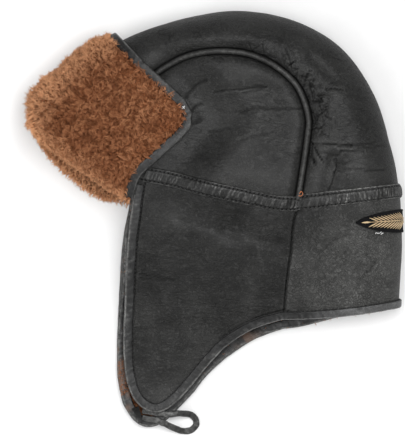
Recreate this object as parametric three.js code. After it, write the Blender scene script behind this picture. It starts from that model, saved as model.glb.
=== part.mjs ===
// A leather flight cap lined with sheepskin, lying on its right side with the front flap turned up.
// Millimetres. +X points to the back of the head, +Y to the top of the crown, +Z away from the surface
// that the cap lies on. The wearer's left side is the near (upper) one, the right side the far (lower) one.
import * as THREE from "three";

// Walls
const LEATHER = 1.8;
const GAP = 0.45;
const FLEECE = 5.5;
const HEM_FLEECE = 1.2;

// The near side's height over the surface, and how it falls towards the tip of the ear flap
const CROWN_TOP = 66;
const TIP_DROP = 46.5;
const DROP_START = -20;
const DROP_LENGTH = 189;

// The near side under the turned-up flap, and the far side lying on that flap
const FLAP_PRESS = 7;
const PRESS_REACH = 30;
const PRESS_START = 10;
const PRESS_LENGTH = 50;
const FLAP_BED = 15.2;
const BED_REACH = 36;

// Seams: valleys beside them, and the lift of the far side where seams and bindings lie under it
const WELT_VALLEY = 2.8;
const WELT_VALLEY_WIDTH = 6;
const NECK_VALLEY = 1.0;
const NECK_VALLEY_WIDTH = 5;
const SEAM_LIFT = 3.9;
const LIFT_REACH = 20;
const NECK_LIFT = 0.8;
const HEM_TILT = 0.15;

// Cords, seams and strips
const WELT_RADIUS = 2;
const WELT_RAISE = 0.3;
const WELT_ROOM = 2.6;
const SEAM_ROOM = 0.4;
const LINING_ROOM = 0.9;
const BAND_HALF = 6;
const STRIP_OUT = -1.6;
const STRIP_IN = -0.4;

// Row of the ribs table at the band, at the neck hem, and at the corner of the side panels
const BAND_ROW = 14;
const HEM_ROW = 18;
const CORNER_ROW = 12.3;
const ROLL_POWER = 2.2;

// The frame's origin: a point of the right ear flap's flat stretch, where the cap rests
const REST_X = -50.3;
const REST_Y = -89.3;

// Colour, roughness and metalness
const FINISHES = {
  leather: [0x3b3b3a, 0.52, 0],
  binding: [0x4b4b49, 0.46, 0],
  piping: [0x41413f, 0.48, 0],
  pile: [0x8c5b3c, 0.95, 0],
  lining: [0x74503a, 0.95, 0],
  badge: [0x8a7d6a, 0.75, 0],
  thong: [0x3e3e3c, 0.5, 0],
};

// Ribs across the cap, from the front hem over the top to the neck hem.
// spineX, spineY, seamX, seamY, roll
const SECTIONS = [
  [-170.0, 8.5, -131.0, -19.5, 24],
  [-160.0, 32.0, -124.0, 1.5, 24],
  [-145.0, 47.0, -111.0, 16.0, 24],
  [-127.0, 63.0, -94.5, 33.0, 24],
  [-106.0, 76.0, -78.0, 50.5, 24],
  [-86.0, 85.0, -64.5, 59.5, 24],
  [-66.5, 91.5, -52.5, 65.0, 23],
  [-45.0, 97.0, -38.0, 68.0, 23],
  [-19.5, 100.5, -21.0, 68.5, 24],
  [8.0, 98.5, -2.5, 65.5, 26],
  [39.0, 89.5, 17.0, 56.0, 29],
  [70.0, 69.0, 33.0, 40.5, 31],
  [93.0, 35.0, 41.0, 18.5, 32],
  [105.5, -4.0, 40.0, -1.5, 31],
  [112.5, -40.0, 32.5, -50.0, 28],
  [114.0, -62.5, 29.0, -66.5, 25],
  [114.5, -86.0, 27.5, -86.5, 23],
  [113.5, -109.0, 24.5, -109.0, 21],
  [112.5, -129.5, 22.0, -138.5, 20],
];

// Middle of the band on each side panel: x, y
const BAND = [
  [-97.5, -25.0],
  [-70.0, -29.5],
  [-43.0, -36.5],
  [-11.5, -43.5],
  [15.5, -49.0],
  [32.5, -50.0],
];

// How steeply the band rises on the neck side of the table
const BAND_RISE = 0.125;

// Cut edges of the ear flaps, down the front, round the tip and up to the neck seam.
// nearX, nearY, farX, farY
const EAR_EDGE = [
  [-90.5, -26.5, -93.5, -26.0],
  [-94.0, -51.0, -96.5, -51.0],
  [-97.0, -74.5, -101.0, -74.5],
  [-99.0, -101.5, -103.5, -101.5],
  [-100.0, -129.0, -105.0, -129.0],
  [-101.0, -156.0, -106.0, -156.0],
  [-100.0, -179.0, -106.0, -183.0],
  [-96.0, -196.0, -101.5, -205.5],
  [-89.5, -206.0, -93.0, -218.5],
  [-80.0, -211.0, -83.5, -223.0],
  [-71.0, -209.5, -72.5, -219.5],
  [-61.5, -202.5, -61.5, -209.5],
  [-50.5, -190.5, -49.5, -196.5],
  [-39.0, -176.5, -38.0, -182.5],
  [-25.5, -161.5, -24.5, -170.0],
  [-11.0, -151.0, -10.5, -160.0],
  [4.0, -143.5, 4.5, -152.0],
  [22.0, -138.5, 22.0, -145.5],
];
// Rows at which the ear flaps have their vertices
const EAR_SIDE_ROWS = [0, 1, 2, 3, 4, 5, 6, 7, 8, 8.6];
const EAR_HEM_ROWS = [8.6, 9.4, 10.2, 11, 12, 13, 14.3, 15.6, 17];

// Edges of the place under the turned-up flap: x, y, outwardX, outwardY, start of the fall beyond it
const FLAP_PLACE = [
  [-107, 81, 0.7375, 0.675, 12],
  [-53, 15.5, 0.783, -0.622, 16.5],
];

// Broad folds of the near side: x0, y0, x1, y1, depth, width
const FOLDS = [
  [-54, -52, -20, -68, 3.0, 9],
  [-20, -68, 26, -84, 2.4, 8],
  [-12, 36, 14, 40, 1.2, 7],
  [57, -39, 61, -16, 2.2, 6],
  [61, -16, 98, -6, 1.6, 6],
  [46, 62, 62, 46, 1.6, 6],
];

// Slack of the near side panel: x, y, width, height, depth
const SIDE_SAG = [-2, 12, 44, 30, 3];
// Line of the seam between ear flap and neck: x, y, and its lean from the upright
const NECK_LINE = [32.5, -50, 0.119];

// How far the turned-up flap reaches from the spine: share of its height, reach
const FLAP_REACH = [
  [0, 90.5],
  [0.5, 92],
  [0.75, 92],
  [0.87, 88.5],
  [0.95, 80],
  [1, 67],
];
const FLAP_ROWS = 4;
const FLAP_LEATHER = 1.6;
const FLAP_ROOM = 2;
const HINGE_PRESS = 1;
const BAND_CLEARANCE = 2.7;
const PILE = 10.6;
const PILE_AT_EDGE = 2.1;
const PILE_ROOM = 0.7;

// Middle of the thong: x, y, z
const THONG = [
  [-88, -211.3, 11.5],
  [-78, -213.2, 11.5],
  [-68, -214.5, 11.4],
  [-58.5, -213.8, 10.0],
  [-50.5, -214.8, 3.4],
  [-46.5, -218.5, 1.3],
  [-46, -223, 1.3],
  [-50, -227, 1.3],
  [-56, -227.8, 1.8],
  [-63, -225.5, 6.0],
  [-70, -222, 11.4],
  [-78, -219, 11.5],
  [-88, -217, 11.5],
];

const smooth = (t) => {
  const c = Math.min(1, Math.max(0, t));
  return c * c * (3 - 2 * c);
};
const mix = (a, b, t) => a + (b - a) * t;

// A row of the table at a real row number, by a Catmull-Rom spline through each column
function sample(table, r) {
  const last = table.length - 1;
  const i = Math.min(last - 1, Math.max(0, Math.floor(r)));
  const t = r - i;
  const p1 = table[i];
  const p2 = table[i + 1];
  const p0 = table[i - 1] || p1.map((c, k) => 2 * c - p2[k]);
  const p3 = table[i + 2] || p2.map((c, k) => 2 * c - p1[k]);
  if (t < 0) return p1.map((c, k) => c + ((p2[k] - p0[k]) / 2) * t);
  if (t > 1) return p2.map((c, k) => c + ((p3[k] - p1[k]) / 2) * (t - 1));
  return p1.map((c, k) => {
    const a = 2 * c;
    const b = p2[k] - p0[k];
    const d = 2 * p0[k] - 5 * c + 4 * p2[k] - p3[k];
    const e = 3 * c - p0[k] - 3 * p2[k] + p3[k];
    return 0.5 * (a + (b + (d + e * t) * t) * t);
  });
}

// Looks up the second column at a value of the first
function lookUp(table, at) {
  for (let i = 1; i < table.length; i++) {
    const [a, va] = table[i - 1];
    const [b, vb] = table[i];
    if (at <= b || i === table.length - 1) return mix(va, vb, (at - a) / (b - a));
  }
}

// The value at a share t of the way through a list
function atStep(list, t) {
  const at = Math.min(list.length - 1.000001, Math.max(0, t * (list.length - 1)));
  const i = Math.floor(at);
  return mix(list[i], list[i + 1], at - i);
}

function segmentDistance(x, y, ax, ay, bx, by) {
  const dx = bx - ax;
  const dy = by - ay;
  const t = Math.min(1, Math.max(0, ((x - ax) * dx + (y - ay) * dy) / (dx * dx + dy * dy)));
  return Math.hypot(x - ax - dx * t, y - ay - dy * t);
}

function lineDistance(line, x, y) {
  let best = Infinity;
  for (let i = 1; i < line.length; i++)
    best = Math.min(best, segmentDistance(x, y, ...line[i - 1], ...line[i]));
  return best;
}

const steps = (n) => Array.from({ length: n + 1 }, (_, i) => i / n);
const WELT_LINE = steps(42).map((t) => sample(SECTIONS, t * BAND_ROW).slice(2, 4));
const NECK_SEAM = steps(6).map((t) => sample(SECTIONS, mix(BAND_ROW, HEM_ROW, t)).slice(2, 4));
const FAR_HEM = EAR_EDGE.map((row) => row.slice(2, 4));

// Distance below the middle of the band
function below(x, y) {
  const last = BAND.length - 1;
  if (x >= BAND[last][0]) return BAND[last][1] + (x - BAND[last][0]) * BAND_RISE - y;
  if (x <= BAND[0][0]) return BAND[0][1] - y;
  return lookUp(BAND, x) - y;
}

// 1 under the turned-up flap, falling to 0 beyond its edges
function cover(x, y, reach) {
  let share = 1;
  for (const [ex, ey, outX, outY, start] of FLAP_PLACE) {
    const beyond = (x - ex) * outX + (y - ey) * outY;
    share *= 1 - smooth((beyond - start) / reach);
  }
  return share;
}

function valley(x, y) {
  const welt = lineDistance(WELT_LINE, x, y);
  const neck = lineDistance(NECK_SEAM, x, y);
  const atWelt = WELT_VALLEY * Math.exp(-((welt / WELT_VALLEY_WIDTH) ** 2));
  return atWelt + NECK_VALLEY * Math.exp(-((neck / NECK_VALLEY_WIDTH) ** 2));
}

function folds(x, y) {
  let sum = 0;
  for (const [ax, ay, bx, by, depth, width] of FOLDS)
    sum += depth * Math.exp(-((segmentDistance(x, y, ax, ay, bx, by) / width) ** 2));
  return sum;
}

// Height of the near side and of the far side over the surface, and of the form that the flap lies on
function nearBase(x, y, covered) {
  const drop = TIP_DROP * smooth((below(x, y) - DROP_START) / DROP_LENGTH);
  return CROWN_TOP - FLAP_PRESS * covered - drop;
}
function nearHeight(x, y) {
  const [cx, cy, wide, high, depth] = SIDE_SAG;
  const sag = depth * Math.exp(-(((x - cx) / wide) ** 2) - ((y - cy) / high) ** 2);
  const fall = 1 - smooth((below(x, y) - PRESS_START) / PRESS_LENGTH);
  const pressed = cover(x, y, PRESS_REACH) * fall;
  return nearBase(x, y, pressed) - sag - valley(x, y) - folds(x, y);
}
function farHeight(x, y) {
  const [seamX, seamY, lean] = NECK_LINE;
  const behind = x - seamX - lean * (y - seamY);
  const neck = smooth((behind + 8) / 12) * smooth((below(x, y) + 4) / 8);
  const fromSeam = Math.min(Math.abs(below(x, y)), lineDistance(FAR_HEM, x, y)) / LIFT_REACH;
  const lift = SEAM_LIFT * Math.max(1 - fromSeam, NECK_LIFT * neck, 0);
  return mix(lift, FLAP_BED, cover(x, y, BED_REACH)) + valley(x, y);
}

// Length of a quarter round of the roll's squarish section, for a mean radius of 1
const QUARTER_ROUND = 1.62;

// One rib: spine point, direction to the seam, roll and middle height
function rib(r, heights) {
  const [sx, sy, wx, wy, roll] = sample(SECTIONS, r);
  const inset = Math.hypot(wx - sx, wy - sy);
  const dx = (wx - sx) / inset;
  const dy = (wy - sy) / inset;
  const px = sx + dx * roll;
  const py = sy + dy * roll;
  const top = heights.near(px, py);
  const bottom = heights.far(px, py);
  const half = (top - bottom) / 2;
  const arc = QUARTER_ROUND * Math.sqrt((roll * roll + half * half) / 2);
  return { sx, sy, dx, dy, roll, inset, arc, middle: (top + bottom) / 2 };
}

const FORM = { near: nearHeight, far: farHeight };
const FLAP_FORM = { near: (x, y) => nearBase(x, y, 1), far: () => FLAP_BED };

// The neck hem bows down between spine and seam, and hangs lower on the far side
const HEM_BOW = 9.2;
const HEM_LAG = 7;
const LAG_START = 40;

// Point of the form at row r and arc length s from the spine; s > 0 is the near side, s < 0 the far side
function onRib(r, s, heights = FORM) {
  const b = rib(r, heights);
  const a = Math.abs(s);
  const far = s < 0;
  const turn = Math.min(1, a / b.arc) * (Math.PI / 2);
  const rise = Math.sin(turn) ** (2 / ROLL_POWER);
  const n = a < b.arc ? b.roll * (1 - Math.cos(turn) ** (2 / ROLL_POWER)) : b.roll + a - b.arc;
  const x = b.sx + b.dx * n;
  let y = b.sy + b.dy * n;
  if (r > BAND_ROW) {
    const low = ((r - BAND_ROW) / (HEM_ROW - BAND_ROW)) ** 2;
    const q = Math.min(1, n / b.inset);
    y -= HEM_BOW * q * (1 - q) * low;
    if (far) y -= HEM_LAG * smooth((n - LAG_START) / (b.inset - LAG_START)) * low;
  }
  const plateau = far ? heights.far(x, y) : heights.near(x, y);
  return new THREE.Vector3(x, y, mix(b.middle, plateau, rise));
}

// Arc length from the spine to a plan distance n on the flat part of row r
function arcTo(r, n, heights = FORM) {
  const b = rib(r, heights);
  return b.arc + n - b.roll;
}

function outward(at, u, v, sign) {
  if (at.up) return at.up(u, v);
  const h = 1e-3;
  const du = at(u + h, v).sub(at(u - h, v));
  const dv = at(u, v + h).sub(at(u, v - h));
  return du.cross(dv).normalize().multiplyScalar(sign);
}

// A closed body from its points and faces, turned so that the faces point out
function closedBody(points, faces) {
  let volume = 0;
  for (const [a, b, c] of faces)
    volume += points[a].dot(new THREE.Vector3().crossVectors(points[b], points[c]));
  const turned = volume < 0 ? faces.map(([a, b, c]) => [a, c, b]) : faces;
  const geometry = new THREE.BufferGeometry();
  const flat = points.flatMap((p) => [p.x, p.y, p.z]);
  geometry.setAttribute("position", new THREE.Float32BufferAttribute(flat, 3));
  geometry.setIndex(turned.flat());
  return geometry;
}

// A closed plate between two depths under a surface, on a grid of nu by nv cells
function plate(at, sign, nu, nv, outer, inner, settle = (p) => p) {
  const points = [];
  for (const depth of [outer, inner])
    for (let j = 0; j <= nv; j++)
      for (let i = 0; i <= nu; i++) {
        const u = i / nu;
        const v = j / nv;
        const d = typeof depth === "function" ? depth(u, v, i, j) : depth;
        points.push(settle(at(u, v).addScaledVector(outward(at, u, v, sign), -d)));
      }
  const id = (k, i, j) => k * (nu + 1) * (nv + 1) + j * (nu + 1) + i;
  const faces = [];
  const quad = (a, b, c, d) => faces.push([a, b, c], [a, c, d]);
  for (let j = 0; j < nv; j++)
    for (let i = 0; i < nu; i++) {
      quad(id(0, i, j), id(0, i + 1, j), id(0, i + 1, j + 1), id(0, i, j + 1));
      quad(id(1, i, j), id(1, i, j + 1), id(1, i + 1, j + 1), id(1, i + 1, j));
    }
  for (let i = 0; i < nu; i++) {
    quad(id(0, i, 0), id(1, i, 0), id(1, i + 1, 0), id(0, i + 1, 0));
    quad(id(0, i, nv), id(0, i + 1, nv), id(1, i + 1, nv), id(1, i, nv));
  }
  for (let j = 0; j < nv; j++) {
    quad(id(0, 0, j), id(0, 0, j + 1), id(1, 0, j + 1), id(1, 0, j));
    quad(id(0, nu, j), id(1, nu, j), id(1, nu, j + 1), id(0, nu, j + 1));
  }
  return closedBody(points, faces);
}

// A closed section carried along frames of { point, side, up }
function sweep(frames, section) {
  const n = section.length;
  const points = frames.flatMap((f) =>
    section.map(([e, k]) => f.point.clone().addScaledVector(f.side, e).addScaledVector(f.up, k)),
  );
  const faces = [];
  for (let j = 0; j + 1 < frames.length; j++)
    for (let i = 0; i < n; i++) {
      const a = j * n + i;
      const b = j * n + ((i + 1) % n);
      faces.push([a, b, b + n], [a, b + n, a + n]);
    }
  const flat = section.map(([e, k]) => new THREE.Vector2(e, k));
  const whole = THREE.ShapeUtils.area(flat);
  const last = (frames.length - 1) * n;
  for (const tri of THREE.ShapeUtils.triangulateShape(flat, [])) {
    const same = THREE.ShapeUtils.area(tri.map((i) => flat[i])) * whole > 0;
    const [a, b, c] = same ? tri : [tri[0], tri[2], tri[1]];
    faces.push([a, c, b], [a + last, b + last, c + last]);
  }
  return closedBody(points, faces);
}

// A frame on a path over a surface: side points off the path's right edge, up is the outward normal
function frameOn(place, t) {
  const h = 1e-3;
  const { point, up } = place(t);
  const ahead = place(Math.min(1, t + h)).point;
  const behind = place(Math.max(0, t - h)).point;
  const along = ahead.sub(behind).normalize();
  return { point, up, side: along.cross(up).normalize() };
}

// Point and outward normal of the near or far side over a plan position
function onSide(x, y, near) {
  const height = near ? nearHeight : farHeight;
  const h = 0.05;
  const gx = (height(x + h, y) - height(x - h, y)) / (2 * h);
  const gy = (height(x, y + h) - height(x, y - h)) / (2 * h);
  const up = new THREE.Vector3(-gx, -gy, 1).normalize().multiplyScalar(near ? 1 : -1);
  return { point: new THREE.Vector3(x, y, height(x, y)), up };
}

// A patch between four plan curves, raised to the near or far side
function coons(top, right, bottom, left, near) {
  const height = near ? nearHeight : farHeight;
  const corners = [top(0), top(1), bottom(0), bottom(1)];
  const at = (u, v) => {
    const [t, r, b, l] = [top(u), right(v), bottom(u), left(v)];
    const [x, y] = [0, 1].map(
      (k) =>
        (1 - v) * t[k] + v * b[k] + (1 - u) * l[k] + u * r[k] -
        (1 - u) * (1 - v) * corners[0][k] - u * (1 - v) * corners[1][k] -
        (1 - u) * v * corners[2][k] - u * v * corners[3][k],
    );
    return new THREE.Vector3(x, y, height(x, y));
  };
  at.up = (u, v) => {
    const p = at(u, v);
    return onSide(p.x, p.y, near).up;
  };
  return at;
}

// A point moved square to a path by off, to the left of the way it runs
function besidePath(path, r, step, off) {
  const [x, y] = path(r);
  const [ax, ay] = path(r - step);
  const [bx, by] = path(r + step);
  const long = Math.hypot(bx - ax, by - ay);
  return [x - ((by - ay) / long) * off, y + ((bx - ax) / long) * off];
}

// A point of the crown seam at row r; off > 0 is towards the spine
const seamLine = (r) => sample(SECTIONS, r).slice(2, 4);
const seamPoint = (r, off) => besidePath(seamLine, r, 0.1, off);
const bandPoint = (t, off) => {
  const [x, y] = sample(BAND, t * (BAND.length - 1));
  return [x, y + off];
};
const earPoint = (row, near) => sample(EAR_EDGE, row).slice(near ? 0 : 2, near ? 2 : 4);

// Arc length of a rib up to its seam, less the room for the seam
const seamArc = (r, room) => arcTo(r, rib(r, FORM).inset - room);

// Spreads u over a rib from the near seam to the far seam, with a fixed share of it on the roll
const ROLL_SHARE = 4 / 7;
function acrossRib(r, u, room) {
  const t = Math.abs(1 - 2 * u);
  const { arc } = rib(r, FORM);
  const flat = (t - ROLL_SHARE) / (1 - ROLL_SHARE);
  const s = t < ROLL_SHARE ? (arc * t) / ROLL_SHARE : mix(arc, seamArc(r, room), flat);
  return onRib(r, u < 0.5 ? s : -s);
}

function centreSurface(room, first, last) {
  return (u, v) => acrossRib(mix(first, last, v), u, room);
}

// The same surface with its last column drawn out towards the seam
const DRAWN_ROOM = 1.2;
function centreToSeam(room, nu, first, last) {
  return (u, v) => {
    const end = Math.max(0, 1 - Math.min(u, 1 - u) * nu);
    return acrossRib(mix(first, last, v), u, mix(room, DRAWN_ROOM, end));
  };
}

// A crown side panel. Its last cells can be drawn out to the seam by out mm.
function sideSurface(near, out, nu, nv) {
  const room = (edge) => -WELT_ROOM + out * Math.max(0, edge);
  const surface = (a, b) =>
    coons(
      (t) => seamPoint(mix(0, CORNER_ROW, t), a),
      (t) => seamPoint(mix(CORNER_ROW, BAND_ROW - 0.02, t), b),
      (t) => bandPoint(t, 1),
      (t) => {
        const p = seamPoint(0, a);
        const q = bandPoint(0, 1);
        return [mix(p[0], q[0], t), mix(p[1], q[1], t)];
      },
      near,
    );
  if (!out) return surface(-WELT_ROOM, -WELT_ROOM);
  const drawn = (u, v) => {
    const r = room(Math.max(1 - v * nv, 1 - (1 - u) * nu));
    return surface(r, r);
  };
  const at = (u, v) => drawn(u, v)(u, v);
  at.up = (u, v) => drawn(u, v).up(u, v);
  return at;
}

// An ear flap, set back from its neck seam by room and from its cut edge by edge
function earSurface(near, room, edge) {
  const last = EAR_EDGE.length - 1;
  const inset = (row) => besidePath((r) => earPoint(r, near), row, 0.05, edge);
  const top = inset(0)[0];
  const start = (top - BAND[0][0]) / (BAND[1][0] - BAND[0][0]) / (BAND.length - 1);
  const cornerA = bandPoint(start, -1);
  const bottomEnd = inset(last);
  const seam = (t) => {
    const [, , wx, wy] = sample(SECTIONS, mix(BAND_ROW + 0.02, HEM_ROW, t));
    const end = bottomEnd[1] - sample(SECTIONS, HEM_ROW)[3];
    return [wx - room, wy + end * t * t];
  };
  const fixLeft = [cornerA[0] - inset(0)[0], cornerA[1] - inset(0)[1]];
  const fixRight = [seam(1)[0] - bottomEnd[0], seam(1)[1] - bottomEnd[1]];
  const fixTop = [seam(0)[0] - bandPoint(1, -1)[0], seam(0)[1] - bandPoint(1, -1)[1]];
  return coons(
    (t) => {
      const p = bandPoint(mix(start, 1, t), -1);
      return [p[0] + fixTop[0] * t, p[1] + fixTop[1] * t];
    },
    seam,
    (t) => {
      const p = inset(atStep(EAR_HEM_ROWS, t));
      return [p[0] + fixRight[0] * t, p[1] + fixRight[1] * t];
    },
    (t) => {
      const p = inset(atStep(EAR_SIDE_ROWS, t));
      return [p[0] + fixLeft[0] * (1 - t), p[1] + fixLeft[1] * (1 - t)];
    },
    near,
  );
}

// The cap and its groups
const cap = new THREE.Group();
cap.position.set(-REST_X, -REST_Y, 0);
const groupOf = (name) => {
  const group = new THREE.Group();
  group.name = name;
  cap.add(group);
  return group;
};
const shell = groupOf("leather_shell");
const sheepskin = groupOf("sheepskin_lining");
const trim = groupOf("trim");
const frontFlap = groupOf("front_flap");

function add(group, name, geometry, finish) {
  const [color, roughness, metalness] = FINISHES[finish];
  const material = new THREE.MeshStandardMaterial({ color, roughness, metalness });
  const mesh = new THREE.Mesh(geometry, material);
  mesh.name = name;
  group.add(mesh);
}

// Leather shell and the sheepskin under it, on the same grids
const CENTRE_GRID = [14, 20];
const NECK_GRID = [14, 5];
const SIDE_GRID = [9, 5];
const EAR_GRID = [8, 9];
const CROWN_ROWS = [0, BAND_ROW - 0.03];
const NECK_ROWS = [BAND_ROW + 0.03, HEM_ROW];
const under = LEATHER + GAP;
const deep = under + FLEECE;
const toHem = (edge) => under + mix(HEM_FLEECE, FLEECE, smooth(edge / 0.22 - 0.25));

const centre = centreSurface(WELT_ROOM, ...CROWN_ROWS);
const centreLining = centreToSeam(WELT_ROOM, CENTRE_GRID[0], ...CROWN_ROWS);
const neck = centreSurface(SEAM_ROOM, ...NECK_ROWS);
const neckLining = centreSurface(LINING_ROOM, ...NECK_ROWS);
const neckDepth = (u, v) => toHem((1 - v) * 0.5);
add(shell, "crown_centre_panel", plate(centre, -1, ...CENTRE_GRID, 0, LEATHER), "leather");
add(shell, "neck_panel", plate(neck, -1, ...NECK_GRID, 0, LEATHER), "leather");
add(sheepskin, "fleece_centre", plate(centreLining, -1, ...CENTRE_GRID, under, deep), "lining");
add(sheepskin, "fleece_neck", plate(neckLining, -1, ...NECK_GRID, under, neckDepth), "lining");

const SIDES = [
  ["left", true, -1],
  ["right", false, 1],
];
for (const [side, near, sign] of SIDES) {
  const crown = sideSurface(near, 0);
  const crownLining = sideSurface(near, 1, ...SIDE_GRID);
  const ear = earSurface(near, SEAM_ROOM, 0.2);
  const earLining = earSurface(near, LINING_ROOM, 0.8);
  const earDepth = (u, v) => toHem(Math.min(1 - v, u * 0.85));
  const crownFleece = plate(crownLining, sign, ...SIDE_GRID, under, deep);
  const earFleece = plate(earLining, sign, ...EAR_GRID, under, earDepth);
  add(shell, "crown_side_" + side, plate(crown, sign, ...SIDE_GRID, 0, LEATHER), "leather");
  add(shell, "ear_flap_" + side, plate(ear, sign, ...EAR_GRID, 0, LEATHER), "leather");
  add(sheepskin, "fleece_side_" + side, crownFleece, "lining");
  add(sheepskin, "fleece_ear_" + side, earFleece, "lining");
}

// Piping cords of the crown
const CORD_SIDES = 6;
const cordSection = Array.from({ length: CORD_SIDES }, (_, i) => {
  const a = (i / CORD_SIDES) * 2 * Math.PI;
  return [WELT_RADIUS * Math.cos(a), WELT_RADIUS * Math.sin(a)];
});
for (const [side, near] of SIDES) {
  const place = (t) => {
    const { point, up } = onSide(...seamLine(t * (BAND_ROW - 0.25)), near);
    point.addScaledVector(up, WELT_RAISE);
    return { point, up };
  };
  const frames = steps(20).map((t) => frameOn(place, t));
  add(trim, "welt_" + side, sweep(frames, cordSection), "piping");
}

// Band round the crown: cells on the near side, round the back and on the far side
const BAND_STEPS = [9, 14, 9];
const BAND_TOTAL = 32;
const BAND_PER_ROW = 31;
function bandSurface(u, v) {
  const w = mix(-BAND_HALF, BAND_HALF, v);
  const onPanel = (t, near) => {
    const [x, y] = besidePath((r) => sample(BAND, r), t * (BAND.length - 1), 0.05, -w);
    return new THREE.Vector3(x, y, (near ? nearHeight : farHeight)(x, y));
  };
  const step = u * BAND_TOTAL;
  const back = step - BAND_STEPS[0];
  if (back <= 0) return onPanel(step / BAND_STEPS[0], true);
  if (back >= BAND_STEPS[1]) return onPanel((BAND_TOTAL - step) / BAND_STEPS[2], false);
  return acrossRib(BAND_ROW + w / BAND_PER_ROW, back / BAND_STEPS[1], 0);
}
// The band stands proud where it passes under the turned-up flap
const bandRaise = (u) => {
  const step = Math.min(u, 1 - u) * BAND_TOTAL;
  return (0.4 + 1.0 * smooth(step - 0.5)) * (1 - smooth((step - 4) / 1.6));
};
const bandOut = (u) => STRIP_OUT - bandRaise(u);
const bandIn = (u) => STRIP_IN - bandRaise(u);
add(trim, "crown_band", plate(bandSurface, -1, BAND_TOTAL, 1, bandOut, bandIn), "leather");

// Badge at the centre of the neck, a pointed oval
const BADGE_ROW = 15;
const BADGE_HALF = 8.6;
const BADGE_POINT = 0.7;
const BADGE_PER_ROW = 22.8;
const BADGE_ENDS = 11;
const BADGE_ROLL_SHARE = 0.8;
function badgeSurface(u, v) {
  const t = 1 - 2 * u;
  const half = BADGE_POINT + BADGE_HALF * (1 - t * t * t * t);
  const r = BADGE_ROW + mix(-half, half, v) / BADGE_PER_ROW;
  const { arc } = rib(r, FORM);
  const share = Math.abs(t) / BADGE_ROLL_SHARE;
  const end = (share - 1) / (1 / BADGE_ROLL_SHARE - 1);
  const s = share < 1 ? arc * share : arc + BADGE_ENDS * end;
  return onRib(r, t > 0 ? s : -s);
}
add(trim, "back_patch", plate(badgeSurface, -1, 20, 2, STRIP_OUT, STRIP_IN), "badge");

// Folded binding of the hem, down the near ear flap, round the neck and up the far one
const BINDING_ROWS = [0.32, ...EAR_SIDE_ROWS.slice(1), ...EAR_HEM_ROWS.slice(1)];
const EAR_SHARE = 0.37;
const NECK_SHARE = 1 - 2 * EAR_SHARE;
const hemPath = (t) => {
  const edge = (row, near) => {
    const [x, y] = earPoint(row, near);
    return onSide(x, y, near);
  };
  if (t < EAR_SHARE) return edge(atStep(BINDING_ROWS, t / EAR_SHARE), true);
  if (1 - t < EAR_SHARE) return edge(atStep(BINDING_ROWS, (1 - t) / EAR_SHARE), false);
  const across = (u, v) => acrossRib(v, u, 0);
  const u = (t - EAR_SHARE) / NECK_SHARE;
  return { point: across(u, HEM_ROW), up: outward(across, u, HEM_ROW, -1) };
};
const HEM_STEPS = [
  ...steps(17).map((t) => t * EAR_SHARE),
  ...steps(14).slice(1, -1).map((t) => EAR_SHARE + NECK_SHARE * t),
  ...steps(17).map((t) => 1 - EAR_SHARE + EAR_SHARE * t),
];
const HEM_SECTION = [
  [-5.2, 2.2], [0.4, 2.2], [1.8, 0.4], [1.8, -4.4], [0.4, -6.1], [-5.2, -6.1],
  [-5.2, -4.9], [0.6, -4.9], [0.6, 1.0], [-5.2, 1.0],
];
// The far ear flap rises to its edge, so the binding tilts with it there
const hemFrame = (t) => {
  const frame = frameOn(hemPath, t);
  if (t < 1 - EAR_SHARE + 0.01) return frame;
  const along = new THREE.Vector3().crossVectors(frame.up, frame.side);
  frame.side.z += HEM_TILT;
  frame.side.normalize();
  frame.up.crossVectors(frame.side, along).normalize();
  return frame;
};
add(trim, "hem_binding", sweep(HEM_STEPS.map(hemFrame), HEM_SECTION), "binding");

// Turned-up front flap: u runs round it from near to far, v from the brow fold to its top edge
const flapReach = (v) => arcTo(mix(0, FLAP_ROWS, v), lookUp(FLAP_REACH, v), FLAP_FORM);
// Height of the flap over the form that it lies on, n from the spine
const flapRoom = (n, v) => {
  const hinge = HINGE_PRESS * (1 - smooth(v / 0.2)) * (1 - smooth((n - 45) / 15));
  const overBand = BAND_CLEARANCE * smooth((n - 45) / 30) * (1 - smooth((v - 0.3) / 0.5));
  return FLAP_ROOM - hinge + overBand;
};
function flapSurface(u, v) {
  const w = Math.min(1, Math.max(0, v));
  const t = Math.abs(1 - 2 * u);
  const r = FLAP_ROWS * v;
  const { arc } = rib(r, FLAP_FORM);
  const s = t < 0.5 ? arc * t * 2 : mix(arc, flapReach(w), t * 2 - 1);
  return onRib(r, u < 0.5 ? s : -s, FLAP_FORM);
}
const flapOut = Math.max(...FLAP_REACH.map((row) => row[1]));
const roomAt = (u, v) => {
  const flat = Math.max(0, Math.abs(1 - 2 * u) * 2 - 1);
  return flapRoom(mix(SECTIONS[0][4], flapOut, flat), v);
};
const flapUnder = (u, v) => -roomAt(u, v);
const flapOver = (u, v) => -roomAt(u, v) - FLAP_LEATHER;
const flapSkin = plate(flapSurface, -1, 16, 6, flapOver, flapUnder);
add(frontFlap, "front_flap_leather", flapSkin, "leather");

// Pile of the flap in tapered locks that stand up in staggered rows
const lock = (i, j) => {
  const raised = (i + (j >> 1)) % 2 === 0 ? 1.1 : -0.9;
  const uneven = Math.sin(i * 12.99 + j * 78.23) * 43758.55;
  return raised + (uneven - Math.floor(uneven) - 0.5) * 1.4;
};
// The pile hangs below the brow fold, further down on the far side
const pileSurface = (u, v) => {
  const low = mix(-0.16, -0.42, smooth(u * 1.6 - 0.3)) / FLAP_ROWS;
  return flapSurface(mix(0.004, 0.996, u), mix(low, 0.995, v));
};
const pileBase = (u, v) => flapOver(u, v) - PILE_ROOM;
const pileTop = (u, v, i, j) => {
  const ends = Math.min(u, 1 - u) / 0.075;
  const top = (1 - v) / 0.14;
  const full = smooth(Math.min(ends, top) - 0.65);
  const rounded = mix(0.45, 1, smooth(v / 0.2));
  return pileBase(u, v) - mix(PILE_AT_EDGE, PILE * rounded + lock(i, j), full);
};
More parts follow.
